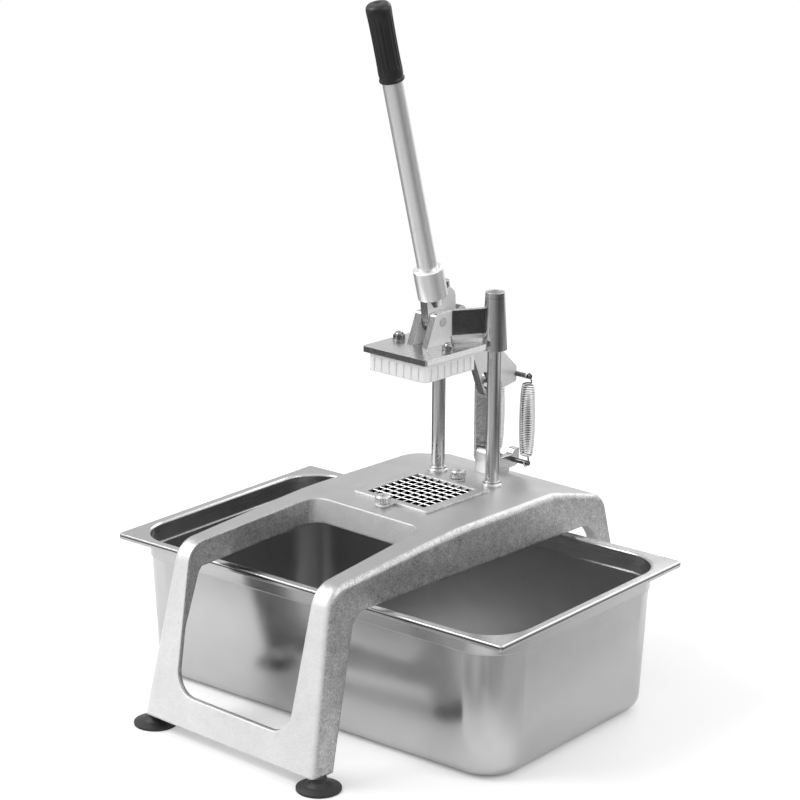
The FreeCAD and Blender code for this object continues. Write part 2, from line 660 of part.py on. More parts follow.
def carriage_bracket():
    """Right ear, with an arm that runs from its rear edge straight to the sleeve."""
    near, far = s.ear_gap_half, s.ear_gap_half + s.ear_thick
    top = s.pusher_top + s.ear_height
    ear = prism([(s.ear_front_y, s.pusher_top), (s.ear_rear_y, s.pusher_top), (s.ear_rear_y, top),
                 (s.ear_front_y + s.ear_slant, top)], [0, 0, 0, 4], "yz", near, far)
    run = V(s.column_x - far, s.column_y - s.ear_rear_y, 0)
    along = V(run.x, run.y, 0).normalize()
    inward = V(-along.y, along.x, 0)

    def strip(outward, inner, low, high):
        ends = []
        for share, side in ((0, -outward), (1, -outward), (1, inner), (0, inner)):
            at = V(far, s.ear_rear_y, 0) + run * share + inward * side
            ends.append((at.x, at.y))
        return prism(ends, 0, "xy", low, high)

    back = s.ear_thick * 0.6
    wedge = prism([(near, s.ear_rear_y - back), (far, s.ear_rear_y - back), (far, s.ear_rear_y),
                   (far + inward.x * s.arm_thick, s.ear_rear_y + inward.y * s.arm_thick)], 0,
                  "xy", s.pusher_top + s.arm_lift, top)
    arm = strip(0, s.arm_thick, s.pusher_top + s.arm_lift, top)
    lip = strip(s.arm_strip_out, 1, s.pusher_top + s.arm_lift, s.pusher_top + s.arm_lift + s.arm_strip)
    y, z = pivot()
    bore = cross_drum(s.pivot_radius + s.seat_gap, s.column_x, y, z)
    body = ear.fuse([wedge, arm, lip]).cut([sleeve_form(0), bore])
    return body.removeSplitter()


def sleeve_form(bore):
    """Tapered sleeve on the right column, solid when bore is 0."""
    form = Part.makeCone(s.sleeve_radius, s.sleeve_top_radius, s.sleeve_length,
                         V(s.column_x, s.column_y, s.sleeve_bottom), V(0, 0, 1))
    if bore:
        form = form.cut(drum(bore, 0, s.column_top * 2, s.column_x, s.column_y))
    return form


def sleeve():
    body = sleeve_form(s.column_radius + s.running_gap + s.bush_wall + s.seat_gap)
    z = s.sleeve_bottom + s.bush_screw_rise
    hole = Part.makeCylinder(s.bush_screw_radius + s.seat_gap, s.sleeve_radius + 1,
                             V(s.column_x, s.column_y, z), V(0, -1, 0))
    return body.cut(hole)


def bush_screw():
    """Grub screw in the sleeve's front that holds the lower bush."""
    z = s.sleeve_bottom + s.bush_screw_rise
    inner = s.column_radius + s.running_gap + s.bush_wall + 2 * s.seat_gap
    return Part.makeCylinder(s.bush_screw_radius, s.sleeve_radius - inner,
                             V(s.column_x, s.column_y - inner, z), V(0, -1, 0))


def guide_bushes():
    inner = s.column_radius + s.running_gap
    bushes = []
    for low in (s.sleeve_bottom + s.bush_inset,
                s.sleeve_bottom + s.sleeve_length - s.bush_inset - s.bush_length):
        for side in (-1, 1):
            x = side * s.column_x
            ring = drum(inner + s.bush_wall, low, low + s.bush_length, x, s.column_y)
            bushes.append(ring.cut(drum(inner, low - 1, low + s.bush_length + 1, x, s.column_y)))
    return Part.makeCompound(bushes)


# Lever

def linkage():
    """Turns of lever and link, in radians, when the pusher is at a given travel."""
    y, z = pivot()
    top_y, top_z = s.link_y, s.link_pivot_z + s.link_length
    reach = math.hypot(top_y - y, top_z - z)
    rest = math.atan2(top_z - z, top_y - y)

    def at(travel):
        away = (y - s.link_y, z - travel - s.link_pivot_z)
        span = math.hypot(*away)
        swing = math.acos((s.link_length ** 2 + span ** 2 - reach ** 2) / (2 * s.link_length * span))
        link = math.atan2(away[1], away[0]) - swing
        pin = (s.link_y + s.link_length * math.cos(link), s.link_pivot_z + s.link_length * math.sin(link))
        lever = math.atan2(pin[1] - z + travel, pin[0] - y)
        return lever - rest, link - math.pi / 2
    return at


def pin_track(steps=12):
    """Places of the link's upper pin in the lever while both turn evenly over the stroke."""
    y, z = pivot()
    lever, link = linkage()(s.stroke)
    places = []
    for i in range(steps + 1):
        share = i / steps
        angle = math.pi / 2 + link * share
        pin = (s.link_y + s.link_length * math.cos(angle),
               s.link_pivot_z + s.link_length * math.sin(angle))
        off = (pin[0] - y, pin[1] - z + s.stroke * share)
        turn = -lever * share
        places.append((y + off[0] * math.cos(turn) - off[1] * math.sin(turn),
                       z + off[0] * math.sin(turn) + off[1] * math.cos(turn)))
    return places


def pin_slot(radius, half):
    """Clear way for the pin along its whole track."""
    places = pin_track()
    ways = [cross_drum(radius, half, *places[0])]
    for p, q in zip(places, places[1:]):
        across = math.hypot(q[0] - p[0], q[1] - p[1])
        w = (-(q[1] - p[1]) / across * radius, (q[0] - p[0]) / across * radius)
        band = [(p[0] - w[0], p[1] - w[1]), (q[0] - w[0], q[1] - w[1]),
                (q[0] + w[0], q[1] + w[1]), (p[0] + w[0], p[1] + w[1])]
        ways.append(prism(band, 0, "yz", -half, half))
        ways.append(cross_drum(radius, half, *q))
    ways.append(prism(places[1:-1], 0, "yz", -half, half))
    return ways


def along_lever(base, run, side=0.0):
    """Point in the side view, run along the handle and side rearward from base."""
    tilt = math.radians(s.lever_tilt)
    return (base[0] - run * math.sin(tilt) + side * math.cos(tilt),
            base[1] + run * math.cos(tilt) + side * math.sin(tilt))


def lever_arm():
    """Thick plate under the socket, carrying the pivot, the link pin and the spring rod."""
    py, pz = pivot()
    socket = (s.socket_y, s.pusher_top + s.socket_rise)
    front = along_lever(socket, 0, -s.socket_radius + 1)
    rear = along_lever(socket, 0, s.socket_radius - 1)
    eye = (s.upper_rod_y, s.upper_rod_z)
    top_pin = (s.link_y, s.link_pivot_z + s.link_length)
    r = s.eye_radius
    wide = s.pivot_radius * 2.5
    low, out = top_pin[1], eye[0] + s.arm_eye_out
    points = [front, (py - wide, pz), (py - wide, pz - wide), (py + wide, pz - wide),
              (top_pin[0] - s.arm_waist_in, low + s.arm_waist_rise),
              (top_pin[0] - s.arm_shank_in, low + s.arm_shank_rise),
              (top_pin[0] - s.arm_toe_in, low - r), (out, eye[1] - r), (out, eye[1] + r),
              (py + s.arm_shoulder_y, pz + s.arm_shoulder_z),
              (py + s.arm_lobe_y, pz + s.arm_lobe_z), (py + s.arm_dip_y, pz + s.arm_dip_z),
              (py + s.arm_neck_y, pz + s.arm_neck_z), (py + s.arm_back_y, pz + s.arm_back_z), rear]
    radii = [k * r for k in (0, 0.45, 1.35, 0.68, 1.59, 1.36, 0.91, 0.34, 0.34, 0.68, 0.8, 0.34,
                             1.14, 0.34, 0)]
    plate = prism(points, radii, "yz", -s.lever_plate / 2, s.lever_plate / 2)
    half = s.lever_plate
    holes = [cross_drum(s.pivot_radius + s.running_gap, half, py, pz),
             cross_drum(s.rod_radius + s.seat_gap, half, *eye)]
    holes += pin_slot(s.link_pin_radius + 2 * s.running_gap, half)
    tilt = math.radians(s.lever_tilt)
    neck = Part.makeCone(s.neck_top_radius, s.neck_low_radius, s.neck_length,
                         V(0, *socket), V(0, math.sin(tilt), -math.cos(tilt)))
    return plate.fuse(neck).cut(holes).removeSplitter()


def build_lever():
    at = (0, "socket_y", "pusher_top + socket_rise")
    tilt = (V(1, 0, 0), s.lever_tilt)
    bore = "tube_radius + seat_gap"
    points = [(0, 0), ("socket_radius", 0), ("socket_radius", "socket_length - 2"),
              ("socket_radius - 2", "socket_length"), (bore, "socket_length"),
              (bore, "socket_floor"), (0, "socket_floor")]
    numbers = [(0, 0), (16.5, 0), (16.5, 32), (14.5, 34), (11, 34), (11, 4), (0, 4)]
    lathe("lever_socket", points, numbers, at, tilt)
    end = "socket_floor + tube_length"
    points = [("tube_radius - tube_wall", "socket_floor"), ("tube_radius", "socket_floor"),
              ("tube_radius", end), ("tube_radius - tube_wall", end)]
    numbers = [(9, 4), (11, 4), (11, 325), (9, 325)]
    lathe("lever_tube", points, numbers, at, tilt)
    low, top = end + " + grip_cap - grip_length", end + " + grip_cap"
    points = [(bore, low), ("grip_radius - 1.5", low), ("grip_radius", low + " + 2"),
              ("grip_radius - 0.6", low + " + grip_length / 2"),
              ("grip_radius", top + " - 4"), ("grip_radius - 3", top), (0, top),
              (0, end + " + seat_gap"), (bore, end + " + seat_gap")]
    numbers = [(11, 247), (12, 247), (13.6, 249), (13, 289), (13.6, 327), (10.6, 331), (0, 331),
               (0, 325), (11, 325)]
    lathe("lever_grip", points, numbers, at, tilt)


# Link, its base and pins

def link_outline(margin_low, margin_high):
    return [(s.link_y - s.link_front, s.link_pivot_z - margin_low),
            (s.link_y + s.link_rear, s.link_pivot_z - margin_low),
            (s.link_y + s.link_rear, s.link_pivot_z + s.link_length + margin_high),
            (s.link_y - s.link_front, s.link_pivot_z + s.link_length + margin_high)]


def link_channel():
    """U of sheet, open to the front, with rounded cheeks and a shorter web."""
    half, thick = s.link_half_width, s.link_sheet
    end = s.link_end
    cheek = prism(link_outline(end, end), end * 0.88, "yz", half - thick, half)
    top_z = s.link_pivot_z + s.link_length
    web = Part.makeBox(2 * half, thick, s.link_length - s.link_web_margin - s.link_end * 2 + 5,
                       V(-half, s.link_y + s.link_rear - thick, s.link_pivot_z + s.link_web_margin))
    body = cheek.fuse([mirrored(cheek), web])
    holes = [cross_drum(s.link_pin_radius + s.running_gap, 2 * half, s.link_y, z)
             for z in (s.link_pivot_z, top_z)]
    return body.cut(holes).removeSplitter()


def link_spacers():
    """Two rings that keep the lever plate in the middle of the link."""
    low = s.lever_plate / 2 + 0.2
    high = s.link_half_width - s.link_sheet - 0.2
    z = s.link_pivot_z + s.link_length
    ring = Part.makeCylinder(s.link_pin_radius + 3, high - low, V(low, s.link_y, z), V(1, 0, 0))
    ring = ring.cut(cross_drum(s.link_pin_radius + s.seat_gap, 2 * high, s.link_y, z))
    return Part.makeCompound([ring, mirrored(ring)])


def link_base():
    """Lug for the link, with a bar behind it that ends in the hook of the spring rod."""
    deep = s.boss_bottom
    y, z, r = s.link_y, s.link_pivot_z, s.lug_radius
    lug = prism([(y - r, deep), (y - r, z + r), (y + r, z + r), (y + r, deep)],
                [0, r * 0.98, r * 0.98, 0], "yz", -s.lug_half, s.lug_half)
    ry, rz, e = s.lower_rod_y, s.lower_rod_z, s.eye_radius - 1
    bar = prism([(y, deep), (y, rz + e - 1), (ry - 4, rz + e - 1), (ry + 2, rz + e + 5),
                 (ry + e + 1, rz + e + 5), (ry + e, rz - e), (ry - e, rz - e), (ry - e - 6, deep)],
                [0, 0, 4, 3, 1.5, e * 0.9, 2, 0], "yz", -s.base_bar_half, s.base_bar_half)
    form = lug.fuse(bar).cut(stand_block(0, s.foot_level))
    holes = [cross_drum(s.link_pin_radius + s.seat_gap, s.column_x, y, z),
             cross_drum(s.rod_radius + s.seat_gap, s.column_x, ry, rz)]
    for bolt_y in (s.base_bolt_front_y, s.base_bolt_rear_y):
        holes.append(drum(s.base_bolt_radius + s.seat_gap, 0, s.plate_top + 6 + s.seat_gap, 0, bolt_y))
    return form.cut(holes).removeSplitter()


def build_base_bolts():
    bolts = []
    for mark, y in (("front", "base_bolt_front_y"), ("rear", "base_bolt_rear_y")):
        head = hexagon("base_bolt_head_" + mark, 8, 3.5, (0, y, "boss_bottom - 3.5"))
        shank = cylinder("base_bolt_shank_" + mark, "base_bolt_radius",
                         "plate_top + 6 - boss_bottom + 1", (0, y, "boss_bottom - 1"))
        bolts.append(fuse("base_bolt_" + mark, [head, shank]))
    group("link_base_bolts", bolts)


def build_cross_pins():
    """Pins and rods that lie along X."""
    turn = (V(0, 1, 0), 90)
    ear = "ear_gap_half + ear_thick + 0.6"
    cheek = "link_half_width + 0.5"
    pivot_z = "pusher_top + pivot_rise"
    for name, radius, half, y, z in (
            ("lever_pivot_pin", "pivot_radius", ear, "pivot_y", pivot_z),
            ("link_pin_upper", "link_pin_radius", cheek, "link_y", "link_pivot_z + link_length"),
            ("link_pin_lower", "link_pin_radius", cheek, "link_y", "link_pivot_z"),
            ("spring_rod_upper", "rod_radius", "rod_half_length", "upper_rod_y", "upper_rod_z"),
            ("spring_rod_lower", "rod_radius", "rod_half_length", "lower_rod_y", "lower_rod_z")):
        cylinder(name, radius, "2 * (%s)" % half, ("-(%s)" % half, y, z), turn)


# Return springs

def biarc(p, t, q, w):
    """Two arcs that leave p along t and reach q along w."""
    gap = q - p
    total = t + w
    a = total.dot(total) - 4
    b = -2 * gap.dot(total)
    c = gap.dot(gap)
    d = (-b - math.sqrt(b * b - 4 * a * c)) / (2 * a)
    middle = (p + t * d + q - w * d) * 0.5
    return arc_piece(p, p + t * d, middle) + arc_piece(middle, q - w * d, q)


def arc_piece(start, apex, end):
    """Arc from start to end whose end tangents meet at apex."""
    chord = (start + end) * 0.5
    height = apex - chord
    if height.Length < 1e-7:
        return [Part.LineSegment(start, end).toShape()]
    half = (end - start).Length / 2
    slope = math.atan2(height.Length, half)
    through = chord + height.normalize() * (half * math.tan(slope / 2))
    return [Part.Arc(start, through, end).toShape()]


def coil_point(turns, low, high):
    """Point and direction on a barrel-shaped coil after a number of turns."""
    def at(k):
        share = k / turns
        swell = math.sin(math.pi * min(1.0, max(0.0, share))) ** 0.35
        radius = s.spring_end_radius + (s.spring_mid_radius - s.spring_end_radius) * swell
        angle = 2 * math.pi * k
        return V(radius * math.sin(angle), radius * math.cos(angle), low + (high - low) * share)

    def both(k):
        step = 1e-4
        first, last = max(0.0, k - step), min(float(turns), k + step)
        return at(k), (at(last) - at(first)).normalize()
    return both


def spring_path():
    """Centre line of one spring on the Z axis, rod to rod: hook, coil and hook."""
    low_z, high_z = s.lower_rod_z, s.upper_rod_z
    turns = int(s.spring_turns)
    hook = s.rod_radius + s.spring_wire / 2 + s.spring_hook_gap
    coil_low, coil_high = low_z + s.spring_hook_reach, high_z - s.spring_hook_reach
    both = coil_point(turns, coil_low, coil_high)
    edges = []
    # lower hook: under the rod, then up to the coil
    rise = s.spring_wire
    edges.append(Part.LineSegment(V(0, -hook, low_z + rise), V(0, -hook, low_z)).toShape())
    edges.append(Part.Arc(V(0, -hook, low_z), V(0, 0, low_z - hook), V(0, hook, low_z)).toShape())
    start, way = both(0)
    edges += biarc(V(0, hook, low_z), V(0, 0, 1), start, way)
    for i in range(2 * turns):
        p, t = both(i / 2)
        q, w = both((i + 1) / 2)
        edges += biarc(p, t, q, w)
    end, way = both(turns)
    edges += biarc(end, way, V(0, hook, high_z), V(0, 0, 1))
    edges.append(Part.Arc(V(0, hook, high_z), V(0, 0, high_z + hook), V(0, -hook, high_z)).toShape())
    edges.append(Part.LineSegment(V(0, -hook, high_z), V(0, -hook, high_z - rise)).toShape())
    return Part.Wire(edges)


def return_spring():
    path = spring_path()
    first = path.Edges[0]
    start = first.valueAt(first.FirstParameter)
    ring = Part.Wire(Part.Circle(start, V(0, 0, -1), s.spring_wire / 2).toShape())
    tube = path.makePipeShell([ring], True, False)
    return tube if tube.ShapeType == "Solid" else tube.Solids[0]


def coil_gap():
    """Least gap between neighbouring wires, measured on points of the centre line."""
    points = []
    for edge in spring_path().Edges:
        points += edge.discretize(7)[:-1]
    near = s.spring_wire * 3
    least = 1e9
    for i, p in enumerate(points):
        walked = 0.0
        for j in range(i + 1, min(i + 60, len(points))):
            walked += points[j].distanceToPoint(points[j - 1])
            if walked > near:
                least = min(least, p.distanceToPoint(points[j]))
    return least - s.spring_wire


# Gastronorm pan

def round_rect(half_x, half_y, radius, z):
    wire = outline(rectangle(half_x, half_y), radius, "xy")
    wire.translate(V(0, 0, z))
    return wire


def pan_form(inset):
    """Tapered tub below the shoulder, moved inward by inset."""
    mouth = s.pan_depth - s.pan_shoulder_depth
    half_x = s.pan_length / 2 - s.pan_rim_width - s.pan_shoulder_step - inset
    half_y = s.pan_width / 2 - s.pan_rim_width - s.pan_shoulder_step - inset
    floor_x, floor_y = half_x - s.pan_taper, half_y - s.pan_taper
    radius = s.pan_corner - inset
    low = inset
    high = mouth if inset == 0 else s.pan_depth - s.pan_shoulder_depth + 1
    tub = Part.makeLoft([round_rect(floor_x, floor_y, radius - s.pan_taper / 2, low),
                         round_rect(half_x, half_y, radius, high)], True, True)
    bottom = [edge for edge in tub.Edges if edge.BoundBox.ZMax < low + 0.01]
    return tub.makeFillet(s.pan_bottom_round - inset, bottom)


def pan():
    sheet_thick = s.pan_sheet
    top = s.pan_depth
    shoulder = top - s.pan_shoulder_depth
    half_x, half_y = s.pan_length / 2, s.pan_width / 2
    in_x, in_y = half_x - s.pan_rim_width, half_y - s.pan_rim_width
    corner_in = s.pan_corner + s.pan_shoulder_step
    lip = s.pan_rim_lip

    def slab(hx, hy, radius, low, high):
        return prism(rectangle(hx, hy), radius, "xy", low, high)

    def flare(bend, low, grow):
        """Bell from the throat out to the flange, as a quarter round in steps."""
        rings = []
        for i in range(6):
            turn = math.radians(18 * i)
            out = bend * (1 - math.cos(turn)) + grow
            z = low + bend * math.sin(turn)
            rings.append(round_rect(in_x - sheet_thick + out, in_y - sheet_thick + out,
                                    corner_in - sheet_thick + out, z))
        return Part.makeLoft(rings, True, True)

    rim = slab(half_x, half_y, s.pan_rim_corner, top - lip, top)
    outer_top = [edge for edge in rim.Edges if edge.BoundBox.ZMin > top - 0.01]
    rim = rim.makeFillet(sheet_thick * 0.9, outer_top)
    rim = rim.cut(slab(half_x - sheet_thick, half_y - sheet_thick, s.pan_rim_corner - sheet_thick,
                       top - lip - 1, top - sheet_thick))
    neck = slab(in_x, in_y, corner_in, shoulder - sheet_thick, top)
    throat = slab(in_x - sheet_thick, in_y - sheet_thick, corner_in - sheet_thick, shoulder, top + 1)
    bend = s.pan_rim_bend
    bell = flare(bend - sheet_thick, top - bend, sheet_thick)
    mouth = flare(bend, top - bend, 0)
    body = rim.fuse([neck, bell, pan_form(0)]).cut([throat, mouth, pan_form(sheet_thick)])
    return body.removeSplitter()


# Build every piece

shaped("stand_casting", stand_casting())
build_feet()
shaped("blade_frame", blade_frame())
shaped("blades_across", blade_set(0, True))
shaped("blades_along", blade_set(90, False))
build_knobs()
build_columns()
build_pusher_plate()
shaped("pusher_block", pusher_block())
build_pusher_fasteners()
right_bracket = carriage_bracket()
shaped("right_carriage_bracket", right_bracket)
shaped("left_carriage_bracket", mirrored(right_bracket))
right_sleeve = sleeve()
shaped("right_sleeve", right_sleeve)
shaped("left_sleeve", mirrored(right_sleeve))
shaped("guide_bushes", guide_bushes())
right_screw = bush_screw()
shaped("bush_screws", Part.makeCompound([right_screw, mirrored(right_screw)]))
shaped("lever_arm", lever_arm())
build_lever()
shaped("link_channel", link_channel())
shaped("link_spacers", link_spacers())
shaped("link_base", link_base())
build_base_bolts()
build_cross_pins()
coil = return_spring()
for side, way in (("left", -1), ("right", 1)):
    shaped(side + "_return_spring", coil, FreeCAD.Placement(
        V(way * s.spring_x, (s.upper_rod_y + s.lower_rod_y) / 2, 0), FreeCAD.Rotation()))
shaped("pan", pan(), FreeCAD.Placement(V(s.pan_centre_x, s.pan_centre_y, 0),
                                       FreeCAD.Rotation(V(0, 0, 1), s.pan_turn)))
DOC.recompute()

NODES = [
    "stand_casting", "front_left_foot", "front_right_foot", "rear_left_foot", "rear_right_foot",
    "foot_studs", "blade_frame", "blades_across", "blades_along", "knob_studs",
    "front_blade_knob", "rear_blade_knob", "left_column", "right_column", "left_column_collar",
    "right_column_collar", "column_nuts", "link_base", "link_base_bolts", "link_pin_lower",
    "spring_rod_lower", "pusher_plate", "pusher_block", "pusher_studs", "pusher_nuts",
    "left_carriage_bracket", "right_carriage_bracket", "left_sleeve", "right_sleeve",
    "guide_bushes", "bush_screws", "lever_pivot_pin", "lever_arm", "lever_socket", "lever_tube",
    "lever_grip", "spring_rod_upper", "link_channel", "link_pin_upper", "link_spacers",
    "left_return_spring", "right_return_spring", "pan",
]

for feature in DOC.Objects:
    if "Invalid" in feature.State or "Error" in feature.State:
        raise RuntimeError("%s failed: %s" % (feature.Name, feature.State))
for name in NODES:
    shape = DOC.getObject(name).Shape
    if shape.isNull() or not shape.isValid() or not shape.Solids:
        raise RuntimeError(name + " has no sound shape")

print("least gap between spring wires: %.2f mm" % coil_gap())
lever_turn, link_turn = linkage()(s.stroke)
print("at full stroke the lever turns %.3f and the link %.3f degrees"
      % (math.degrees(lever_turn), math.degrees(link_turn)))

os.makedirs("parts", exist_ok=True)
for name in NODES:
    DOC.getObject(name).Shape.exportStep(os.path.join("parts", name + ".step"))
print("%d nodes written" % len(NODES))
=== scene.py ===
"""Looks of the french fry cutter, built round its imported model. Lengths are in metres."""
import math

import bmesh
import bpy
from mathutils import Matrix, Vector


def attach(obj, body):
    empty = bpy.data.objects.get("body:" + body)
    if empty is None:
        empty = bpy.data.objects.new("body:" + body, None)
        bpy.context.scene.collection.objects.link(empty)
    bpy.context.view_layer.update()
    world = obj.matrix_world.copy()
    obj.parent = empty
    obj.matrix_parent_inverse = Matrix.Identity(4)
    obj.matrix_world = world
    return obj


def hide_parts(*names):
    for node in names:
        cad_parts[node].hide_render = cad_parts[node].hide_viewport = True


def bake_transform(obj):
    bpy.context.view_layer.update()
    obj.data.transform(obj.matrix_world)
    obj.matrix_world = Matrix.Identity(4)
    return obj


MM = 0.001


# Shader maths

class Wire:
    """Socket of a shader tree that takes part in arithmetic."""

    def __init__(self, shade, socket):
        self.shade = shade
        self.socket = socket

    def calc(self, operation, *values):
        """Math node on plain values and wires."""
        return self.shade.add("ShaderNodeMath", {"operation": operation}, *values)

    def __add__(self, other):
        return self.calc("ADD", self, other)

    __radd__ = __add__

    def __mul__(self, other):
        return self.calc("MULTIPLY", self, other)

    __rmul__ = __mul__

    def __sub__(self, other):
        return self.calc("SUBTRACT", self, other)

    def __rsub__(self, other):
        return self.calc("SUBTRACT", other, self)

    def __truediv__(self, other):
        return self.calc("DIVIDE", self, other)

    def __pow__(self, other):
        return self.calc("POWER", self, other)

    def clamp(self):
        return self.calc("MINIMUM", self.calc("MAXIMUM", self, 0.0), 1.0)

    def step(self, low, high):
        """Smooth rise from 0 at low to 1 at high."""
        return self.shade.add("ShaderNodeMapRange", {"interpolation_type": "SMOOTHSTEP"},
                              self, low, high, 0.0, 1.0)


class Shade:
    """Material or world tree with a short way to add nodes."""

    def __init__(self, owner):
        owner.use_nodes = True
        self.tree = owner.node_tree
        self.tree.nodes.clear()

    def add(self, kind, settings=None, *values, out=0, **named):
        """Node of a kind; settings come first, then values or links by place or by name."""
        node = self.tree.nodes.new(kind)
        for key, value in (settings or {}).items():
            if key == "stops":
                self.stops(node.color_ramp, value)
            else:
                setattr(node, key, value)
        for place, value in list(enumerate(values)) + list(named.items()):
            key = place if isinstance(place, int) else place.replace("_", " ")
            self.join(node.inputs[key], value)
        return Wire(self, node.outputs[out])

    def join(self, socket, value):
        if isinstance(value, Wire):
            self.tree.links.new(value.socket, socket)
        elif value is not None:
            if isinstance(value, (int, float)) and hasattr(socket.default_value, "__len__"):
                value = [value] * 3 + [1.0] * (len(socket.default_value) - 3)
            socket.default_value = value

    @staticmethod
    def stops(ramp, stops):
        while len(ramp.elements) < len(stops):
            ramp.elements.new(1.0)
        for element, (at, grey) in zip(ramp.elements, stops):
            element.position = at
            element.color = (grey, grey, grey, 1.0)

    def point(self, stretch=(1, 1, 1), move=(0, 0, 0)):
        """Object coordinates, stretched so that a larger number packs the pattern closer."""
        place = self.add("ShaderNodeTexCoord", None, out="Object")
        return self.add("ShaderNodeMapping", None, Vector=place, Location=move, Scale=stretch)

    def noise(self, point, scale, detail=2.0, rough=0.5):
        return self.add("ShaderNodeTexNoise", None, Vector=point, Scale=scale, Detail=detail,
                        Roughness=rough)

    def cells(self, point, scale):
        """Distance to the nearest of scattered points."""
        return self.add("ShaderNodeTexVoronoi", None, Vector=point, Scale=scale)

    def mix(self, share, low, high):
        """Colour between low and high."""
        return self.add("ShaderNodeMix", {"data_type": "RGBA"}, share, None, None, None, None,
                        None, colour(low), colour(high), out=2)

    def split(self, point):
        """The three parts of a vector."""
        node = self.add("ShaderNodeSeparateXYZ", None, point).socket.node
        return [Wire(self, socket) for socket in node.outputs]

    def rounded(self, radius):
        """Normal that rounds the edges off."""
        return self.add("ShaderNodeBevel", {"samples": 6}, radius)

    def facing_way(self):
        """The three parts of the surface's normal."""
        return self.split(self.add("ShaderNodeNewGeometry", None, out="Normal"))

    def bump(self, height, depth, normal, strength=1.0):
        return self.add("ShaderNodeBump", None, Strength=strength, Distance=depth,
                        Height=height, Normal=normal)


def colour(value):
    """Grey number or RGB as RGBA, and a wire as it is."""
    if isinstance(value, (int, float)):
        return (value, value, value, 1.0)
    if isinstance(value, tuple) and len(value) == 3:
        return value + (1.0,)
    return value


def finish_material(name, build):
    """Material whose Principled sockets are the values that build returns."""
    material = bpy.data.materials.new(name)
    shade = Shade(material)
    values = build(shade)
    shader = shade.add("ShaderNodeBsdfPrincipled").socket.node
    for key, value in values.items():
        shade.join(shader.inputs[key], value)
    ending = shade.tree.nodes.new("ShaderNodeOutputMaterial")
    shade.tree.links.new(shader.outputs[0], ending.inputs["Surface"])
    return material


# Finishes

def cast_aluminium(shade):
    """Blasted casting with a fine grain, a brushed flat top, and painted light on the faces turned
    to the front.
    """
    point = shade.point()
    grain = shade.noise(point, 520, 3, 0.65)
    pits = shade.cells(point, 900)
    cloud = shade.noise(point, 28, 4, 0.6)
    streak = shade.noise(shade.point((14, 900, 900)), 1.0, 2, 0.5)
    _, ny, nz = shade.facing_way()
    up = nz.step(0.9, 0.985)
    # painted light: faces turned to the front are painted paler, less grainy and less metallic than
    # the sides
    front = (-1 * ny).step(0.3, 0.85)
    blotch = shade.noise(point, 110, 4, 0.7)
    grey = 0.52 + 0.10 * (cloud - 0.5) + 0.03 * (streak - 0.5)
    speckle = (1 - 0.75 * front) * (0.95 * (grain - 0.5) + 0.5 * (blotch - 0.5))
    side = 0.56 + 0.30 * front + speckle + 0.16 * (cloud - 0.5)
    tone = shade.mix(up, shade.mix(side.clamp(), 0.0, 1.0), shade.mix(grey.clamp(), 0.0, 1.0))
    height = grain * (1 - up) + 0.35 * pits * (1 - up) + 0.16 * streak * up
    return {"Base Color": tone, "Metallic": 1 - 0.55 * front,
            "Roughness": 0.36 + 0.22 * (grain - 0.35) + 0.08 * (cloud - 0.5) + 0.05 * up,
            "Normal": shade.bump(height, 0.00034, shade.rounded(0.003))}


def polished_casting(shade):
    """Tumbled and polished casting with soft edges."""
    point = shade.point()
    cloud = shade.noise(point, 90, 3, 0.55)
    grain = shade.noise(point, 700, 2, 0.6)
    return {"Base Color": shade.mix(cloud, 0.62, 0.80), "Metallic": 1.0,
            "Roughness": 0.20 + 0.14 * (cloud - 0.4) + 0.05 * grain,
            "Normal": shade.bump(cloud + 0.25 * grain, 0.00018, shade.rounded(0.0014))}


def flat_faces(shade):
    """1 on faces square to X, and the three parts of the normal."""
    normal = shade.facing_way()
    return ((normal[0] * normal[0]) ** 0.5).step(0.75, 0.95), normal


# where an ear ends and its arm begins, off the middle, and the top of the arm's bright strip
EAR_OUT = (0.0146, 0.0152)
STRIP_TOP = (0.3935, 0.3941)


def bracket_casting(shade):
    """Casting whose ears have painted light on their sides and painted shade on the faces that look
    neither sideways nor up, and whose arm is darker above its bright lower strip.
    """
    point = shade.point()
    cloud = shade.noise(point, 90, 3, 0.55)
    grain = shade.noise(point, 450, 4, 0.7)
    x, _, z = shade.split(point)
    flat, normal = flat_faces(shade)
    out = (x * x) ** 0.5
    arm = out.step(*EAR_OUT) * z.step(*STRIP_TOP) * (1 - normal[2].step(0.5, 0.8))
    # painted shade: the faces of the ears that look neither sideways nor up
    edge = (1 - out.step(*EAR_OUT)) * (1 - flat) * (1 - normal[2].step(0.3, 0.6))
    flat = flat * (1 - arm)
    tone = shade.mix(arm, shade.mix(cloud, 0.60, 0.80), shade.mix(grain, 0.07, 0.24))
    tone = shade.mix(edge, tone, shade.mix(grain, 0.03, 0.22))
    # painted light: the sides of the ears, away from the arm, are painted near white and less
    # metallic
    return {"Base Color": shade.mix(flat * 0.8, tone, 0.95), "Metallic": 1 - 0.5 * flat,
            "Roughness": 0.20 + 0.14 * (cloud - 0.4) + 0.14 * arm + 0.15 * flat,
            "Normal": shade.bump(cloud + (0.25 + 0.5 * arm) * grain, 0.00014,
                                 shade.rounded(0.0012))}


def lever_casting(shade):
    """Thick lever plate, with painted light on its two sides and a darker edge all round."""
    point = shade.point()
    cloud = shade.noise(point, 90, 3, 0.55)
    grain = shade.noise(point, 500, 3, 0.6)
    flat = flat_faces(shade)[0]
    # painted light: the two sides are painted near white and less metallic; the edge all round is
    # darker
    tone = shade.mix(flat, shade.mix(grain, 0.05, 0.30), shade.mix(cloud, 0.88, 0.96))
    return {"Base Color": tone, "Metallic": 1 - 0.5 * flat,
            "Roughness": 0.26 + 0.14 * (cloud - 0.4) + 0.06 * flat,
            "Normal": shade.bump(cloud + 0.25 * grain, 0.00014, shade.rounded(0.001))}


PAN_CENTRE = (0.0029, 0.0363, 0)
RIM_TOP = 0.164
PAN_FLOOR_LEVEL = (0.02, 0.05)
PAN_RIM_LEVEL = (0.150, 0.160)


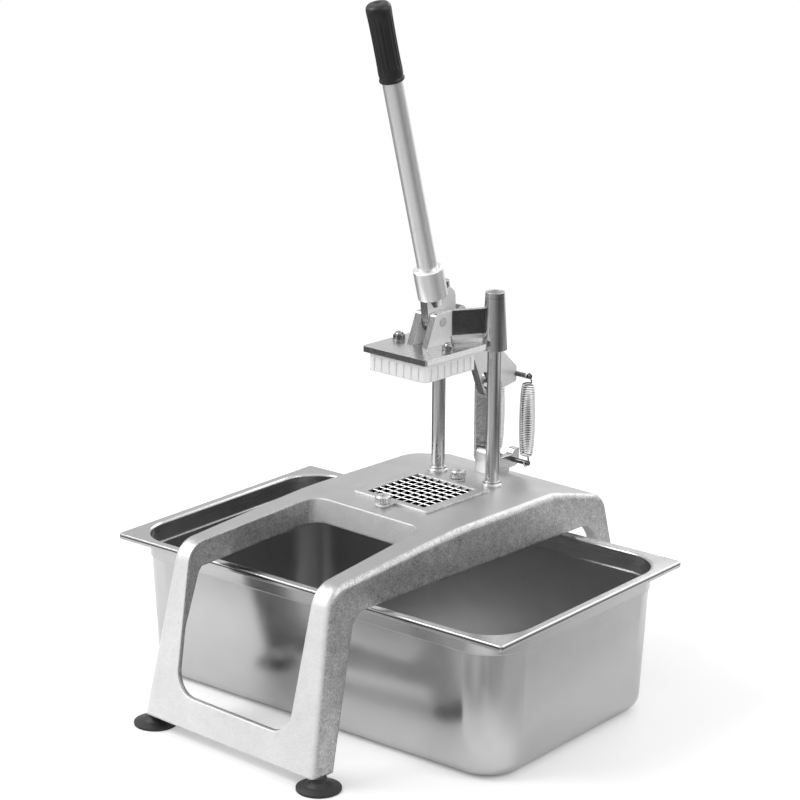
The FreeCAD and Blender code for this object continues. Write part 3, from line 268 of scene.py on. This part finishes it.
def pan_steel(shade):
    """Drawn stainless sheet with a faint lengthwise grain and soft waves."""
    line = shade.noise(shade.point((700, 700, 9)), 1.0, 2, 0.6)
    wave = shade.noise(shade.point(), 7, 2, 0.4)
    smear = shade.noise(shade.point(), 35, 3, 0.6)
    # the drawn inner faces are duller than the polished outside, and painted darker as shade in the
    # hollow of the pan
    x, y, z = shade.split(shade.point(move=PAN_CENTRE))
    nx, ny, nz = shade.facing_way()
    inward = (-1 * (nx * x + ny * y)).step(0.0, 0.01)
    floor = nz.step(0.5, 0.9) * (1 - z.step(*PAN_FLOOR_LEVEL))
    inside_dull_and_shaded = (inward + floor).clamp() * (1 - z.step(*PAN_RIM_LEVEL))
    tone = shade.mix(inside_dull_and_shaded, shade.mix(smear, 0.58, 0.66), shade.mix(smear, 0.40, 0.47))
    # painted shade: a dark band in the hollow under the bead of the rim
    painted_rim_shade = (z.step(RIM_TOP - 0.0034, RIM_TOP - 0.0029)
              * (1 - z.step(RIM_TOP - 0.0021, RIM_TOP - 0.0016)))
    tone = shade.mix(painted_rim_shade * (1 - inward), tone, 0.05)
    return {"Base Color": tone, "Metallic": 1.0,
            "Roughness": 0.17 + 0.07 * (line - 0.5) + 0.08 * (smear - 0.4) + 0.14 * inside_dull_and_shaded,
            "Normal": shade.bump(wave + 0.004 * line, 0.004, shade.rounded(0.0016), 0.35)}


def sheet_steel(shade):
    """Bent stainless sheet with a brushed grain."""
    line = shade.noise(shade.point((900, 20, 900)), 1.0, 3, 0.6)
    smear = shade.noise(shade.point(), 60, 3, 0.6)
    return {"Base Color": shade.mix(smear, 0.70, 0.80), "Metallic": 1.0,
            "Roughness": 0.27 + 0.12 * (line - 0.5) + 0.10 * (smear - 0.5),
            "Normal": shade.bump(line, 0.00002, shade.rounded(0.0008))}


def plate_steel(shade):
    """Flat plate, satin on top, with painted shade on its front edge and painted light on its ends.
    """
    line = shade.noise(shade.point((900, 20, 900)), 1.0, 3, 0.6)
    grain = shade.noise(shade.point(), 420, 4, 0.7)
    smear = shade.noise(shade.point(), 60, 3, 0.6)
    flat, normal = flat_faces(shade)
    # painted shade: the edge facing the front is painted dark and given a rough grain
    front = (-1 * normal[1]).step(0.75, 0.95)
    tone = shade.mix(front, shade.mix(smear, 0.66, 0.74), shade.mix(grain, 0.02, 0.30))
    # painted light: the ends, square to X, are painted near white and less metallic
    return {"Base Color": shade.mix(flat, tone, 0.95), "Metallic": 1 - 0.6 * flat,
            "Roughness": 0.27 + 0.12 * (line - 0.5) + 0.06 * (smear - 0.5) + 0.1 * front,
            "Normal": shade.bump(line + 2 * front * grain, 0.00003, shade.rounded(0.0006))}


BLADE_TOP = 0.2225


def blade_steel(shade):
    """Steel strip painted near black below its edge, as shade down in the cells, with a bright
    bevel ground along its cutting edge.
    """
    line = shade.noise(shade.point((60, 60, 2400)), 1.0, 2, 0.5)
    z = shade.split(shade.point())[2]
    edge = z.step(BLADE_TOP - 0.0022, BLADE_TOP - 0.0016)
    # the bevel leans up, so it catches the light from above
    lean = shade.add("ShaderNodeCombineXYZ", None, 0.0, 0.0, 0.9 * edge)
    bevel = shade.add("ShaderNodeVectorMath", {"operation": "ADD"}, shade.rounded(0.0002), lean)
    bevel = shade.add("ShaderNodeVectorMath", {"operation": "NORMALIZE"}, bevel)
    # painted shade: below the bevel the strip is painted near black
    return {"Base Color": shade.mix(edge, 0.05, shade.mix(line, 0.88, 0.96)), "Metallic": 1.0,
            "Roughness": 0.24 + 0.12 * (line - 0.5) + 0.08 * edge,
            "Normal": shade.bump(line, 0.00002, bevel)}


COLUMN_TOP = 0.434


def polished_steel(shade):
    """Ground and plated rod with faint rings, and painted shade on the top face of the columns."""
    ring = shade.noise(shade.point((30, 30, 1500)), 1.0, 2, 0.6)
    smear = shade.noise(shade.point(), 45, 3, 0.6)
    z = shade.split(shade.point())[2]
    # painted shade: the top face of the columns is painted near black
    painted_shade_top = (z.step(COLUMN_TOP - 0.0003, COLUMN_TOP - 0.0001)
            * (1 - z.step(COLUMN_TOP, COLUMN_TOP + 0.0002)))
    return {"Base Color": shade.mix(painted_shade_top, shade.mix(smear, 0.62, 0.70), 0.02), "Metallic": 1.0,
            "Roughness": 0.17 + 0.05 * (ring - 0.5) + 0.08 * (smear - 0.4),
            "Normal": shade.bump(ring, 0.00001, shade.rounded(0.0006))}


def cap_steel(shade):
    """Dark turned steel of the cap nuts and their washers."""
    smear = shade.noise(shade.point(), 300, 3, 0.6)
    return {"Base Color": shade.mix(smear, 0.14, 0.50), "Metallic": 1.0,
            "Roughness": 0.10 + 0.10 * (smear - 0.4),
            "Normal": shade.bump(smear, 0.00010, shade.rounded(0.0004))}


def dark_steel(shade):
    """Oiled steel rod."""
    smear = shade.noise(shade.point(), 260, 3, 0.6)
    return {"Base Color": shade.mix(smear, 0.06, 0.26), "Metallic": 1.0,
            "Roughness": 0.20 + 0.14 * (smear - 0.4),
            "Normal": shade.bump(smear, 0.00006, shade.rounded(0.0004))}


def satin_tube(shade):
    """Satin tube of the lever, with the odd speck."""
    line = shade.noise(shade.point((1100, 1100, 14)), 1.0, 2, 0.6)
    speck = shade.cells(shade.point(), 260)
    mark = 1 - speck.step(0.03, 0.12)
    return {"Base Color": shade.mix(mark * 0.5, shade.mix(line, 0.84, 0.92), 0.60),
            "Metallic": 0.85,
            "Roughness": 0.34 + 0.10 * (line - 0.5) + 0.1 * mark,
            "Normal": shade.bump(line, 0.00003, shade.rounded(0.0005))}


def zinc_steel(shade):
    """Bright zinc on pins, studs and screws."""
    cloud = shade.noise(shade.point(), 240, 3, 0.6)
    return {"Base Color": shade.mix(cloud, 0.50, 0.68), "Metallic": 1.0,
            "Roughness": 0.19 + 0.12 * (cloud - 0.4),
            "Normal": shade.bump(cloud, 0.00006, shade.rounded(0.0004))}


def spring_steel(shade):
    """Bright wire of the return springs, with painted shade where it faces into the coil and where
    it faces down.
    """
    cloud = shade.noise(shade.point(), 240, 3, 0.6)
    x, y, _ = shade.split(shade.point())
    nx, ny, nz = shade.facing_way()
    side = x.calc("SIGN", x)
    across = (x * side - SPRING_X) * side
    along = y - ROD_Y
    reach = (across * across + along * along) ** 0.5 + 0.0001
    inward = (-1 * (nx * across + ny * along) / reach).step(-0.25, 0.35)
    under = (-1 * nz).step(0.15, 0.75)
    # painted shade on the faces turned into the coil or down
    dark = (inward + under).clamp()
    return {"Base Color": shade.mix(dark, shade.mix(cloud, 0.80, 0.92), 0.02), "Metallic": 1.0,
            "Roughness": 0.19 + 0.12 * (cloud - 0.4),
            "Normal": shade.bump(cloud, 0.00006, shade.rounded(0.0003))}


def white_plastic(shade):
    """Smooth white acetal, a little see-through at its edges."""
    cloud = shade.noise(shade.point(), 60, 2, 0.5)
    fine = shade.noise(shade.point(), 900, 2, 0.5)
    return {"Base Color": shade.mix(cloud, 0.93, 0.97), "Roughness": 0.34 + 0.06 * (fine - 0.5),
            "Subsurface Weight": 1.0, "Subsurface Radius": (1, 1, 1), "Subsurface Scale": 0.007,
            "Normal": shade.bump(fine, 0.00002, shade.rounded(0.0012))}


def black_plastic(shade):
    """Moulded grip with a fine leather grain."""
    fine = shade.cells(shade.point(), 1500)
    cloud = shade.noise(shade.point(), 80, 2, 0.5)
    return {"Base Color": shade.mix(cloud, 0.010, 0.020),
            "Roughness": 0.36 + 0.10 * (cloud - 0.5) + 0.06 * fine,
            "Normal": shade.bump(fine, 0.00005, shade.rounded(0.0006))}


def foot_rubber(shade):
    """Black rubber with a dusty bloom."""
    cloud = shade.noise(shade.point(), 70, 4, 0.65)
    fine = shade.noise(shade.point(), 1100, 2, 0.5)
    return {"Base Color": shade.mix(cloud, 0.012, 0.03), "Roughness": 0.46 + 0.2 * (cloud - 0.5),
            "Normal": shade.bump(fine, 0.00008, shade.rounded(0.001))}


def bush_plastic(shade):
    """Pale plastic of the bushes and spacer rings."""
    fine = shade.noise(shade.point(), 600, 2, 0.5)
    return {"Base Color": shade.mix(fine, 0.62, 0.70), "Roughness": 0.45 + 0.1 * (fine - 0.5),
            "Normal": shade.bump(fine, 0.00003, shade.rounded(0.0004))}


FINISHES = {build.__name__: build for build in (
    cast_aluminium, polished_casting, bracket_casting, lever_casting, pan_steel, sheet_steel,
    plate_steel, blade_steel, polished_steel, cap_steel, dark_steel, satin_tube, zinc_steel,
    spring_steel, white_plastic, black_plastic, foot_rubber, bush_plastic)}

FINISH_OF_NODE = {
    "stand_casting": "cast_aluminium", "front_left_foot": "foot_rubber",
    "front_right_foot": "foot_rubber", "rear_left_foot": "foot_rubber",
    "rear_right_foot": "foot_rubber", "foot_studs": "zinc_steel", "blade_frame": "cast_aluminium",
    "blades_across": "blade_steel", "blades_along": "blade_steel", "knob_studs": "zinc_steel",
    "front_blade_knob": "polished_casting", "rear_blade_knob": "polished_casting",
    "left_column": "polished_steel", "right_column": "polished_steel",
    "left_column_collar": "polished_casting", "right_column_collar": "polished_casting",
    "column_nuts": "zinc_steel", "link_base": "polished_casting", "link_base_bolts": "zinc_steel",
    "link_pin_lower": "dark_steel", "spring_rod_lower": "dark_steel",
    "pusher_plate": "plate_steel", "pusher_block": "white_plastic", "pusher_studs": "zinc_steel",
    "pusher_nuts": "polished_steel", "left_carriage_bracket": "bracket_casting",
    "right_carriage_bracket": "bracket_casting", "left_sleeve": "polished_steel",
    "right_sleeve": "polished_steel", "guide_bushes": "bush_plastic", "bush_screws": "zinc_steel",
    "lever_pivot_pin": "zinc_steel", "lever_arm": "lever_casting",
    "lever_socket": "satin_tube", "lever_tube": "satin_tube", "lever_grip": "black_plastic",
    "spring_rod_upper": "dark_steel", "link_channel": "sheet_steel", "link_pin_upper": "zinc_steel",
    "link_spacers": "bush_plastic", "left_return_spring": "zinc_steel",
    "right_return_spring": "zinc_steel", "pan": "pan_steel",
}


def dress(piece, finish):
    """Finish of a new piece."""
    piece.data.materials.clear()
    piece.data.materials.append(materials[finish])


def dress_nodes():
    """Finish of each node of the CAD model."""
    for name, finish in FINISH_OF_NODE.items():
        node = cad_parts[name]
        node.data.materials.clear()
        node.data.materials.append(materials[finish])


# Studio

CAMERA_PLACE = (1.754030, -1.968736, 1.088639)
CAMERA_RIGHT = (0.7392096, 0.6734381, 0.0070871)
CAMERA_DOWN = (0.1925270, -0.2012229, -0.9604388)
CAMERA_AHEAD = (-0.6453700, 0.7113301, -0.2784009)
CAMERA_LENS = 113.652


def make_camera():
    """Camera that stands where the photograph's camera stood."""
    data = bpy.data.cameras.new("camera")
    data.sensor_width = 36
    data.lens = CAMERA_LENS
    data.clip_start, data.clip_end = 0.05, 60
    camera = bpy.data.objects.new("camera", data)
    turn = Matrix((CAMERA_RIGHT, [-v for v in CAMERA_DOWN], [-v for v in CAMERA_AHEAD]))
    turn = turn.transposed()
    camera.matrix_world = Matrix.Translation(CAMERA_PLACE) @ turn.to_4x4()
    bpy.context.scene.collection.objects.link(camera)
    bpy.context.scene.camera = camera


LAMP_AIM = (0, -0.04, 0.15)
# name, place, size and power
LAMPS = (
    ("key", (-1.6, -1.9, 2.6), (1.8, 1.8), 60),
    ("fill", (2.4, 0.6, 1.8), (1.4, 1.8), 15),
    ("back", (-0.4, 2.4, 1.8), (2.2, 1.0), 20),
)


def make_lamp(name, place, size, power):
    data = bpy.data.lights.new(name, "AREA")
    data.shape = "RECTANGLE"
    data.size, data.size_y = size
    data.energy = power
    lamp = bpy.data.objects.new(name, data)
    turn = (Vector(LAMP_AIM) - Vector(place)).to_track_quat("-Z", "Y")
    lamp.matrix_world = Matrix.Translation(place) @ turn.to_matrix().to_4x4()
    bpy.context.scene.collection.objects.link(lamp)


WORLD_LIGHT = 0.68


def facing(way, azimuth):
    """1 towards an azimuth, in degrees from +X, and less away from it."""
    turn = math.radians(azimuth)
    return way[0] * math.cos(turn) + way[1] * math.sin(turn)


def grey_of(shade, value):
    """Colour of an uncapped grey value."""
    return shade.add("ShaderNodeCombineColor", None, value, value, value)


def make_world():
    """White studio: a plain white background, with softer greys in what metal reflects."""
    world = bpy.data.worlds.new("studio")
    bpy.context.scene.world = world
    shade = Shade(world)
    path = shade.add("ShaderNodeLightPath").socket.node
    seen = Wire(shade, path.outputs["Is Camera Ray"])
    mirrored = (Wire(shade, path.outputs["Is Glossy Ray"])
                + Wire(shade, path.outputs["Is Transmission Ray"])).clamp()
    way = shade.split(shade.add("ShaderNodeTexCoord", None, out="Generated"))
    low = 1 - way[2].step(0.30, 0.75)
    # the room behind the camera is dark, and so is a gap between the soft boxes on the right
    behind = facing(way, 312).step(0.80, 0.97) * low
    gap = facing(way, 2).step(0.90, 0.985) * (1 - way[2].step(0.15, 0.45))
    back_wall = facing(way, 130).step(0.55, 0.95) * (1 - way[2].step(0.25, 0.8))
    front_box = facing(way, 232).step(0.70, 0.95) * low
    # a dark line along the foot of the front wall
    foot = facing(way, 250).step(0.10, 0.45) * (1 - way[2].step(0.06, 0.13))
    reflected = ((0.94 - 0.26 * back_wall + 0.22 * front_box) * (1 - 0.86 * behind)
                 * (1 - 0.75 * gap) * (1 - 0.93 * foot))
    level = shade.mix(mirrored, WORLD_LIGHT, grey_of(shade, reflected))
    level = shade.mix(seen, level, 1.0)
    background = shade.add("ShaderNodeBackground", None, level, 1.0)
    ending = shade.tree.nodes.new("ShaderNodeOutputWorld")
    shade.tree.links.new(background.socket, ending.inputs["Surface"])


FLOOR_REACH, FLOOR_DROP, FLOOR_GREY = 12.0, 0.0004, 0.88
FLOOR_LIFT = 0.20
FLOOR_FADE = (0.7, 1.9)
# radii over which metal stops seeing the lit floor, the near ring and the middle ring
RING_STARTS, MIDDLE_STARTS, FAR_STARTS = (0.66, 0.80), (1.18, 1.32), (1.75, 2.0)
# what metal sees in each ring, as (azimuth in degrees from +X, grey)
NEAR_RING = ((0, 0.05), (20, 0.04), (50, 0.06), (75, 0.12), (110, 0.20), (130, 0.70), (140, 0.55),
             (160, 0.12), (198, 0.12), (214, 0.75), (232, 0.80), (250, 0.55), (265, 0.62),
             (285, 0.50), (305, 0.58), (325, 0.36), (345, 0.14), (360, 0.05))
MIDDLE_RING = ((0, 0.10), (30, 0.60), (48, 1.0), (66, 0.60), (95, 0.10), (120, 0.10), (132, 0.70),
               (150, 0.30), (190, 0.10), (215, 0.05), (242, 0.05), (262, 0.12), (280, 0.40),
               (335, 0.40), (350, 0.12), (360, 0.10))
FAR_RING = ((0, 0.07), (40, 0.07), (65, 0.12), (85, 0.70), (100, 1.0), (132, 0.90),
            (150, 0.20), (185, 0.25), (200, 0.90), (235, 0.85), (258, 0.48), (300, 0.36),
            (330, 0.16), (360, 0.07))


def ring_grey(shade, around, stops):
    """Grey round the object; around goes from 0 to 1 in a full turn."""
    stops = [(azimuth / 360, grey) for azimuth, grey in stops]
    return shade.add("ShaderNodeValToRGB", {"stops": stops}, around)


def make_floor():
    """Pale floor that reads as white and keeps the object's soft shadow."""
    mesh = bpy.data.meshes.new("floor")
    corners = [(x * FLOOR_REACH, y * FLOOR_REACH, 0)
               for x, y in ((-1, -1), (1, -1), (1, 1), (-1, 1))]
    mesh.from_pydata(corners, [], [(0, 1, 2, 3)])
    floor = bpy.data.objects.new("floor", mesh)
    floor.location = (0, 0, -FLOOR_DROP)
    bpy.context.scene.collection.objects.link(floor)
    material = bpy.data.materials.new("floor")
    shade = Shade(material)
    path = shade.add("ShaderNodeLightPath").socket.node
    seen = Wire(shade, path.outputs["Is Camera Ray"])
    mirrored = Wire(shade, path.outputs["Is Glossy Ray"])
    place = shade.add("ShaderNodeTexCoord", None, out="Object")
    x, y, _ = shade.split(place)
    away = (x * x + y * y) ** 0.5
    around = y.calc("ARCTAN2", y, x) / (2 * math.pi)
    around = (around + 1).calc("MODULO", around + 1, 1.0)
    ring = ring_grey(shade, around, NEAR_RING)
    ring = shade.mix(away.step(*MIDDLE_STARTS), ring, ring_grey(shade, around, MIDDLE_RING))
    ring = shade.mix(away.step(*FAR_STARTS), ring, ring_grey(shade, around, FAR_RING))
    # in front of the object, metal sees a darker floor with soft patches
    patch = shade.noise(place, 5, 2, 0.5).step(0.38, 0.62)
    front = (0.2 * x - 0.98 * y).step(0.26, 0.42) * (1 - away.step(0.54, 0.68))
    ring = shade.mix(front, ring, shade.mix(patch, 0.10, 0.42))
    # to its right the floor gets brighter towards the back
    right = x.step(0.30, 0.44) * y.step(-0.45, -0.25) * (1 - away.step(0.80, 0.95))
    ring = shade.mix(right, ring, shade.mix(y.step(0.10, 0.62), 0.42, 1.0))
    glow = shade.mix(seen, shade.mix(mirrored, 0.5, ring), 1.0)
    beyond = shade.add("ShaderNodeEmission", None, glow, 1.0)
    matt = shade.add("ShaderNodeBsdfDiffuse", None, colour(FLOOR_GREY))
    lift = shade.add("ShaderNodeEmission", None, colour(1.0), seen * FLOOR_LIFT)
    near = shade.add("ShaderNodeAddShader", None, matt, lift)
    share = mirrored * (away.step(*RING_STARTS) + 0.75 * front + 0.8 * right).clamp()
    share = away.step(*FLOOR_FADE) * (1 - mirrored) + share
    total = shade.add("ShaderNodeMixShader", None, share, near, beyond)
    ending = shade.tree.nodes.new("ShaderNodeOutputMaterial")
    shade.tree.links.new(total.socket, ending.inputs["Surface"])
    mesh.materials.append(material)


# Springs

SPRING_X = 0.0224
ROD_Y = 0.154
ROD_LOW_Z, ROD_HIGH_Z = 0.2226, 0.3246
ROD_RADIUS = 2.8 * MM
WIRE_RADIUS = 0.9 * MM
COIL_TURNS = 31
COIL_MID, COIL_END = 8.4 * MM, 5.2 * MM
HOOK_REACH = 9 * MM
HOOK_RADIUS = ROD_RADIUS + WIRE_RADIUS + 0.3 * MM
COIL_SWELL = 0.35
STEPS_PER_TURN, HOOK_STEPS, WIRE_SIDES = 18, 12, 10
HOOK_TAIL, CLAMPED_END = 1.8 * MM, 3 * MM


def hook(z, way):
    """Open hook round a rod, from its free end to where it leaves for the coil."""
    points = [Vector((0, -HOOK_RADIUS, z + way * HOOK_TAIL))]
    for i in range(HOOK_STEPS + 1):
        angle = math.pi * i / HOOK_STEPS
        points.append(Vector((0, -HOOK_RADIUS * math.cos(angle),
                              z - way * HOOK_RADIUS * math.sin(angle))))
    return points


def coil():
    """Centre line of the barrel-shaped coil round the Z axis."""
    low, high = ROD_LOW_Z + HOOK_REACH, ROD_HIGH_Z - HOOK_REACH
    points = []
    count = COIL_TURNS * STEPS_PER_TURN
    for i in range(count + 1):
        share = i / count
        radius = COIL_END + (COIL_MID - COIL_END) * math.sin(math.pi * share) ** COIL_SWELL
        angle = 2 * math.pi * COIL_TURNS * share
        points.append(Vector((radius * math.sin(angle), radius * math.cos(angle),
                              low + (high - low) * share)))
    return points


def bridge(start, start_way, end, end_way, steps=6):
    """Smooth run between two ends with given directions."""
    reach = (end - start).length * 1.1
    points = []
    for i in range(1, steps):
        t = i / steps
        points.append(start * (2 * t ** 3 - 3 * t ** 2 + 1)
                      + start_way * reach * (t ** 3 - 2 * t ** 2 + t)
                      + end * (3 * t ** 2 - 2 * t ** 3)
                      + end_way * reach * (t ** 3 - t ** 2))
    return points


def spring_line(x):
    """Centre line of one spring, hook to hook."""
    up = Vector((0, 0, 1))
    round_coil = coil()
    first, last = hook(ROD_LOW_Z, 1), hook(ROD_HIGH_Z, -1)[::-1]
    leave = (round_coil[1] - round_coil[0]).normalized()
    arrive = (round_coil[-1] - round_coil[-2]).normalized()
    line = (first + bridge(first[-1], up, round_coil[0], leave) + round_coil
            + bridge(round_coil[-1], arrive, last[0], up) + last)
    return [p + Vector((x, ROD_Y, 0)) for p in line]


def sweep_tree(material):
    """Geometry nodes that sweep a round wire along a line."""
    tree = bpy.data.node_groups.new("spring_wire", "GeometryNodeTree")
    face = tree.interface
    face.new_socket("Line", in_out="INPUT", socket_type="NodeSocketGeometry")
    radius = face.new_socket("Wire radius", in_out="INPUT", socket_type="NodeSocketFloat")
    sides = face.new_socket("Wire sides", in_out="INPUT", socket_type="NodeSocketInt")
    face.new_socket("Spring", in_out="OUTPUT", socket_type="NodeSocketGeometry")
    radius.default_value, sides.default_value = WIRE_RADIUS, WIRE_SIDES
    way_in, way_out = tree.nodes.new("NodeGroupInput"), tree.nodes.new("NodeGroupOutput")
    ring = tree.nodes.new("GeometryNodeCurvePrimitiveCircle")
    wire = tree.nodes.new("GeometryNodeCurveToMesh")
    smooth = tree.nodes.new("GeometryNodeSetShadeSmooth")
    real = tree.nodes.new("GeometryNodeRealizeInstances")
    coat = tree.nodes.new("GeometryNodeSetMaterial")
    coat.inputs["Material"].default_value = material
    wire.inputs["Fill Caps"].default_value = True
    for a, b in ((way_in.outputs["Line"], wire.inputs["Curve"]),
                 (way_in.outputs["Wire radius"], ring.inputs["Radius"]),
                 (way_in.outputs["Wire sides"], ring.inputs["Resolution"]),
                 (ring.outputs["Curve"], wire.inputs["Profile Curve"]),
                 (wire.outputs["Mesh"], smooth.inputs["Geometry"]),
                 (smooth.outputs["Geometry"], real.inputs["Geometry"]),
                 (real.outputs["Geometry"], coat.inputs["Geometry"]),
                 (coat.outputs["Geometry"], way_out.inputs["Spring"])):
        tree.links.new(a, b)
    return tree, {"radius": radius.identifier, "sides": sides.identifier}


def plain_mesh(source, name):
    """Mesh object of what the modifiers of source give, and source is removed."""
    graph = bpy.context.evaluated_depsgraph_get()
    mesh = bpy.data.meshes.new_from_object(source.evaluated_get(graph), depsgraph=graph)
    bpy.data.objects.remove(source)
    mesh.name = name
    piece = bpy.data.objects.new(name, mesh)
    bpy.context.scene.collection.objects.link(piece)
    return piece


def make_springs():
    """Wire of both springs, hooked on the rods and stretched between them."""
    tree, keys = sweep_tree(materials["spring_steel"])
    for side, way in (("left", -1), ("right", 1)):
        line = spring_line(way * SPRING_X)
        curve = bpy.data.curves.new("line", "CURVE")
        curve.dimensions = "3D"
        spline = curve.splines.new("POLY")
        spline.points.add(len(line) - 1)
        for point, place in zip(spline.points, line):
            point.co = (*place, 1)
        source = bpy.data.objects.new("line", curve)
        bpy.context.scene.collection.objects.link(source)
        sweep = source.modifiers.new("sweep", "NODES")
        sweep.node_group = tree
        sweep[keys["radius"]] = WIRE_RADIUS
        sweep[keys["sides"]] = WIRE_SIDES
        spring = plain_mesh(source, side + "_spring_wire")
        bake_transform(spring)
        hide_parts(side + "_return_spring")
        dress(spring, "spring_steel")


# Turned pieces

SHARP_ANGLE = math.radians(40)


def turned(name, profile, around, radius_at, place):
    """Closed mesh round an axis, from (height, radius, share) points, in millimetres.

    radius_at(angle, radius, share) gives the radius at an angle."""
    form = bmesh.new()
    rings = []
    for height, radius, share in profile:
        if radius == 0:
            rings.append([form.verts.new(place @ Vector((0, 0, height * MM)))])
            continue
        ring = []
        for i in range(around):
            angle = 2 * math.pi * i / around
            r = radius_at(angle, radius, share) * MM
            ring.append(form.verts.new(place @ Vector((r * math.cos(angle), r * math.sin(angle),
                                                       height * MM))))
        rings.append(ring)
    for low, high in zip(rings, rings[1:]):
        for i in range(around):
            j = (i + 1) % around
            corners = [low[i % len(low)], low[j % len(low)],
                       high[j % len(high)], high[i % len(high)]]
            # a ring of one point gives a triangle
            face = form.faces.new(list(dict.fromkeys(corners)))
            face.smooth = True
    mesh = bpy.data.meshes.new(name)
    bmesh.ops.recalc_face_normals(form, faces=form.faces)
    form.to_mesh(mesh)
    form.free()
    mesh.set_sharp_from_angle(angle=SHARP_ANGLE)
    piece = bpy.data.objects.new(name, mesh)
    bpy.context.scene.collection.objects.link(piece)
    return piece


LEVER_START, LEVER_TILT = (0, 0.0162, 0.4384), math.radians(15.64)
GRIP_FLUTES, GRIP_FLUTE_DEPTH, GRIP_SEGMENTS = 16, 0.75, 192
# heights along the lever, from the bore to the outside and the domed end; a share of 1 is fluted
GRIP_PROFILE = (
    (329.05, 0, 0), (329.05, 11.05, 0), (250.0, 11.05, 0), (250.0, 12.7, 0), (250.5, 13.3, 0),
    (251.4, 13.55, 0), (252.6, 13.5, 0), (253.6, 12.9, 0), (254.4, 12.6, 0), (255.6, 12.6, 0),
    (256.6, 12.95, 0), (258.0, 13.05, 0), (262.5, 13.1, 0), (264.0, 13.1, 0.15), (265.5, 13.1, 0.6),
    (267.5, 13.05, 0.95), (270.0, 13.0, 1), (280.0, 12.9, 1), (292.0, 12.9, 1), (304.0, 13.0, 1),
    (316.0, 13.2, 1), (319.5, 13.3, 0.95), (321.5, 13.35, 0.6), (323.0, 13.4, 0.15),
    (324.5, 13.4, 0), (328.0, 13.45, 0), (330.2, 13.3, 0), (331.8, 12.8, 0), (333.2, 11.9, 0),
    (334.2, 10.5, 0), (334.7, 8.6, 0), (334.95, 6.0, 0), (334.9, 4.2, 0), (334.3, 3.2, 0),
    (333.9, 2.0, 0), (333.8, 0, 0))


def fluted(angle, radius, share):
    """Radius of the grip, cut in by its lengthwise flutes."""
    wave = 0.5 + 0.5 * math.cos(GRIP_FLUTES * angle)
    return radius - GRIP_FLUTE_DEPTH * share * wave ** 1.5


def make_grip():
    place = Matrix.Translation(LEVER_START) @ Matrix.Rotation(LEVER_TILT, 4, "X")
    grip = turned("moulded_grip", GRIP_PROFILE, GRIP_SEGMENTS, fluted, place)
    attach(grip, "lever")
    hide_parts("lever_grip")
    dress(grip, "black_plastic")


NUT_ACROSS, NUT_TURN, NUT_SEGMENTS = 11.5, math.radians(17), 96
NUT_PLACES = ((-0.0355, 0.0015), (0.0355, 0.0015))
PUSHER_TOP = 0.386
# a share of 1 is six-sided
WASHER_PROFILE = ((0, 0, 0), (0, 6.9, 0), (0.25, 7.1, 0), (0.95, 7.1, 0), (1.2, 6.9, 0),
                  (1.2, 0, 0))
CAP_NUT_PROFILE = (
    (1.2, 0, 0), (1.2, 6.0, 1), (1.7, 6.65, 1), (5.6, 6.65, 1), (6.1, 5.9, 1), (6.15, 4.9, 0),
    (6.6, 4.85, 0), (7.3, 4.6, 0), (8.0, 4.1, 0), (8.7, 3.3, 0), (9.2, 2.3, 0), (9.5, 1.2, 0),
    (9.55, 0, 0))


def six_sided(angle, radius, share):
    """Radius, no more than that of the flats of a hexagon where share isn't 0."""
    if not share:
        return radius
    turn = (angle + math.pi / 6) % (math.pi / 3) - math.pi / 6
    return min(radius, NUT_ACROSS / 2 / math.cos(turn))


def make_cap_nuts():
    for side, (x, y) in zip(("left", "right"), NUT_PLACES):
        place = Matrix.Translation((x, y, PUSHER_TOP)) @ Matrix.Rotation(NUT_TURN, 4, "Z")
        for name, profile in (("nut_washer", WASHER_PROFILE), ("cap_nut", CAP_NUT_PROFILE)):
            piece = turned("%s_%s" % (side, name), profile, NUT_SEGMENTS, six_sided, place)
            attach(piece, "carriage")
            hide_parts("pusher_nuts")
            dress(piece, "cap_steel")


# The scene

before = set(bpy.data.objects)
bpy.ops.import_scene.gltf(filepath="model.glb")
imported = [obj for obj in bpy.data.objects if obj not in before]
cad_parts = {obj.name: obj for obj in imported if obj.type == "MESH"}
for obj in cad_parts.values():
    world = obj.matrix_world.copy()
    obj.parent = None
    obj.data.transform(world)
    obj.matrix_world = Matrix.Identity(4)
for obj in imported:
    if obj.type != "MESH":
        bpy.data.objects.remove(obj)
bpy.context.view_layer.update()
bpy.context.scene.view_settings.view_transform = "Standard"
make_camera()
make_world()
make_floor()
for name, place, size, power in LAMPS:
    make_lamp(name, place, size, power)

materials = {name: finish_material(name, build) for name, build in FINISHES.items()}
dress_nodes()
make_springs()
make_grip()
make_cap_nuts()
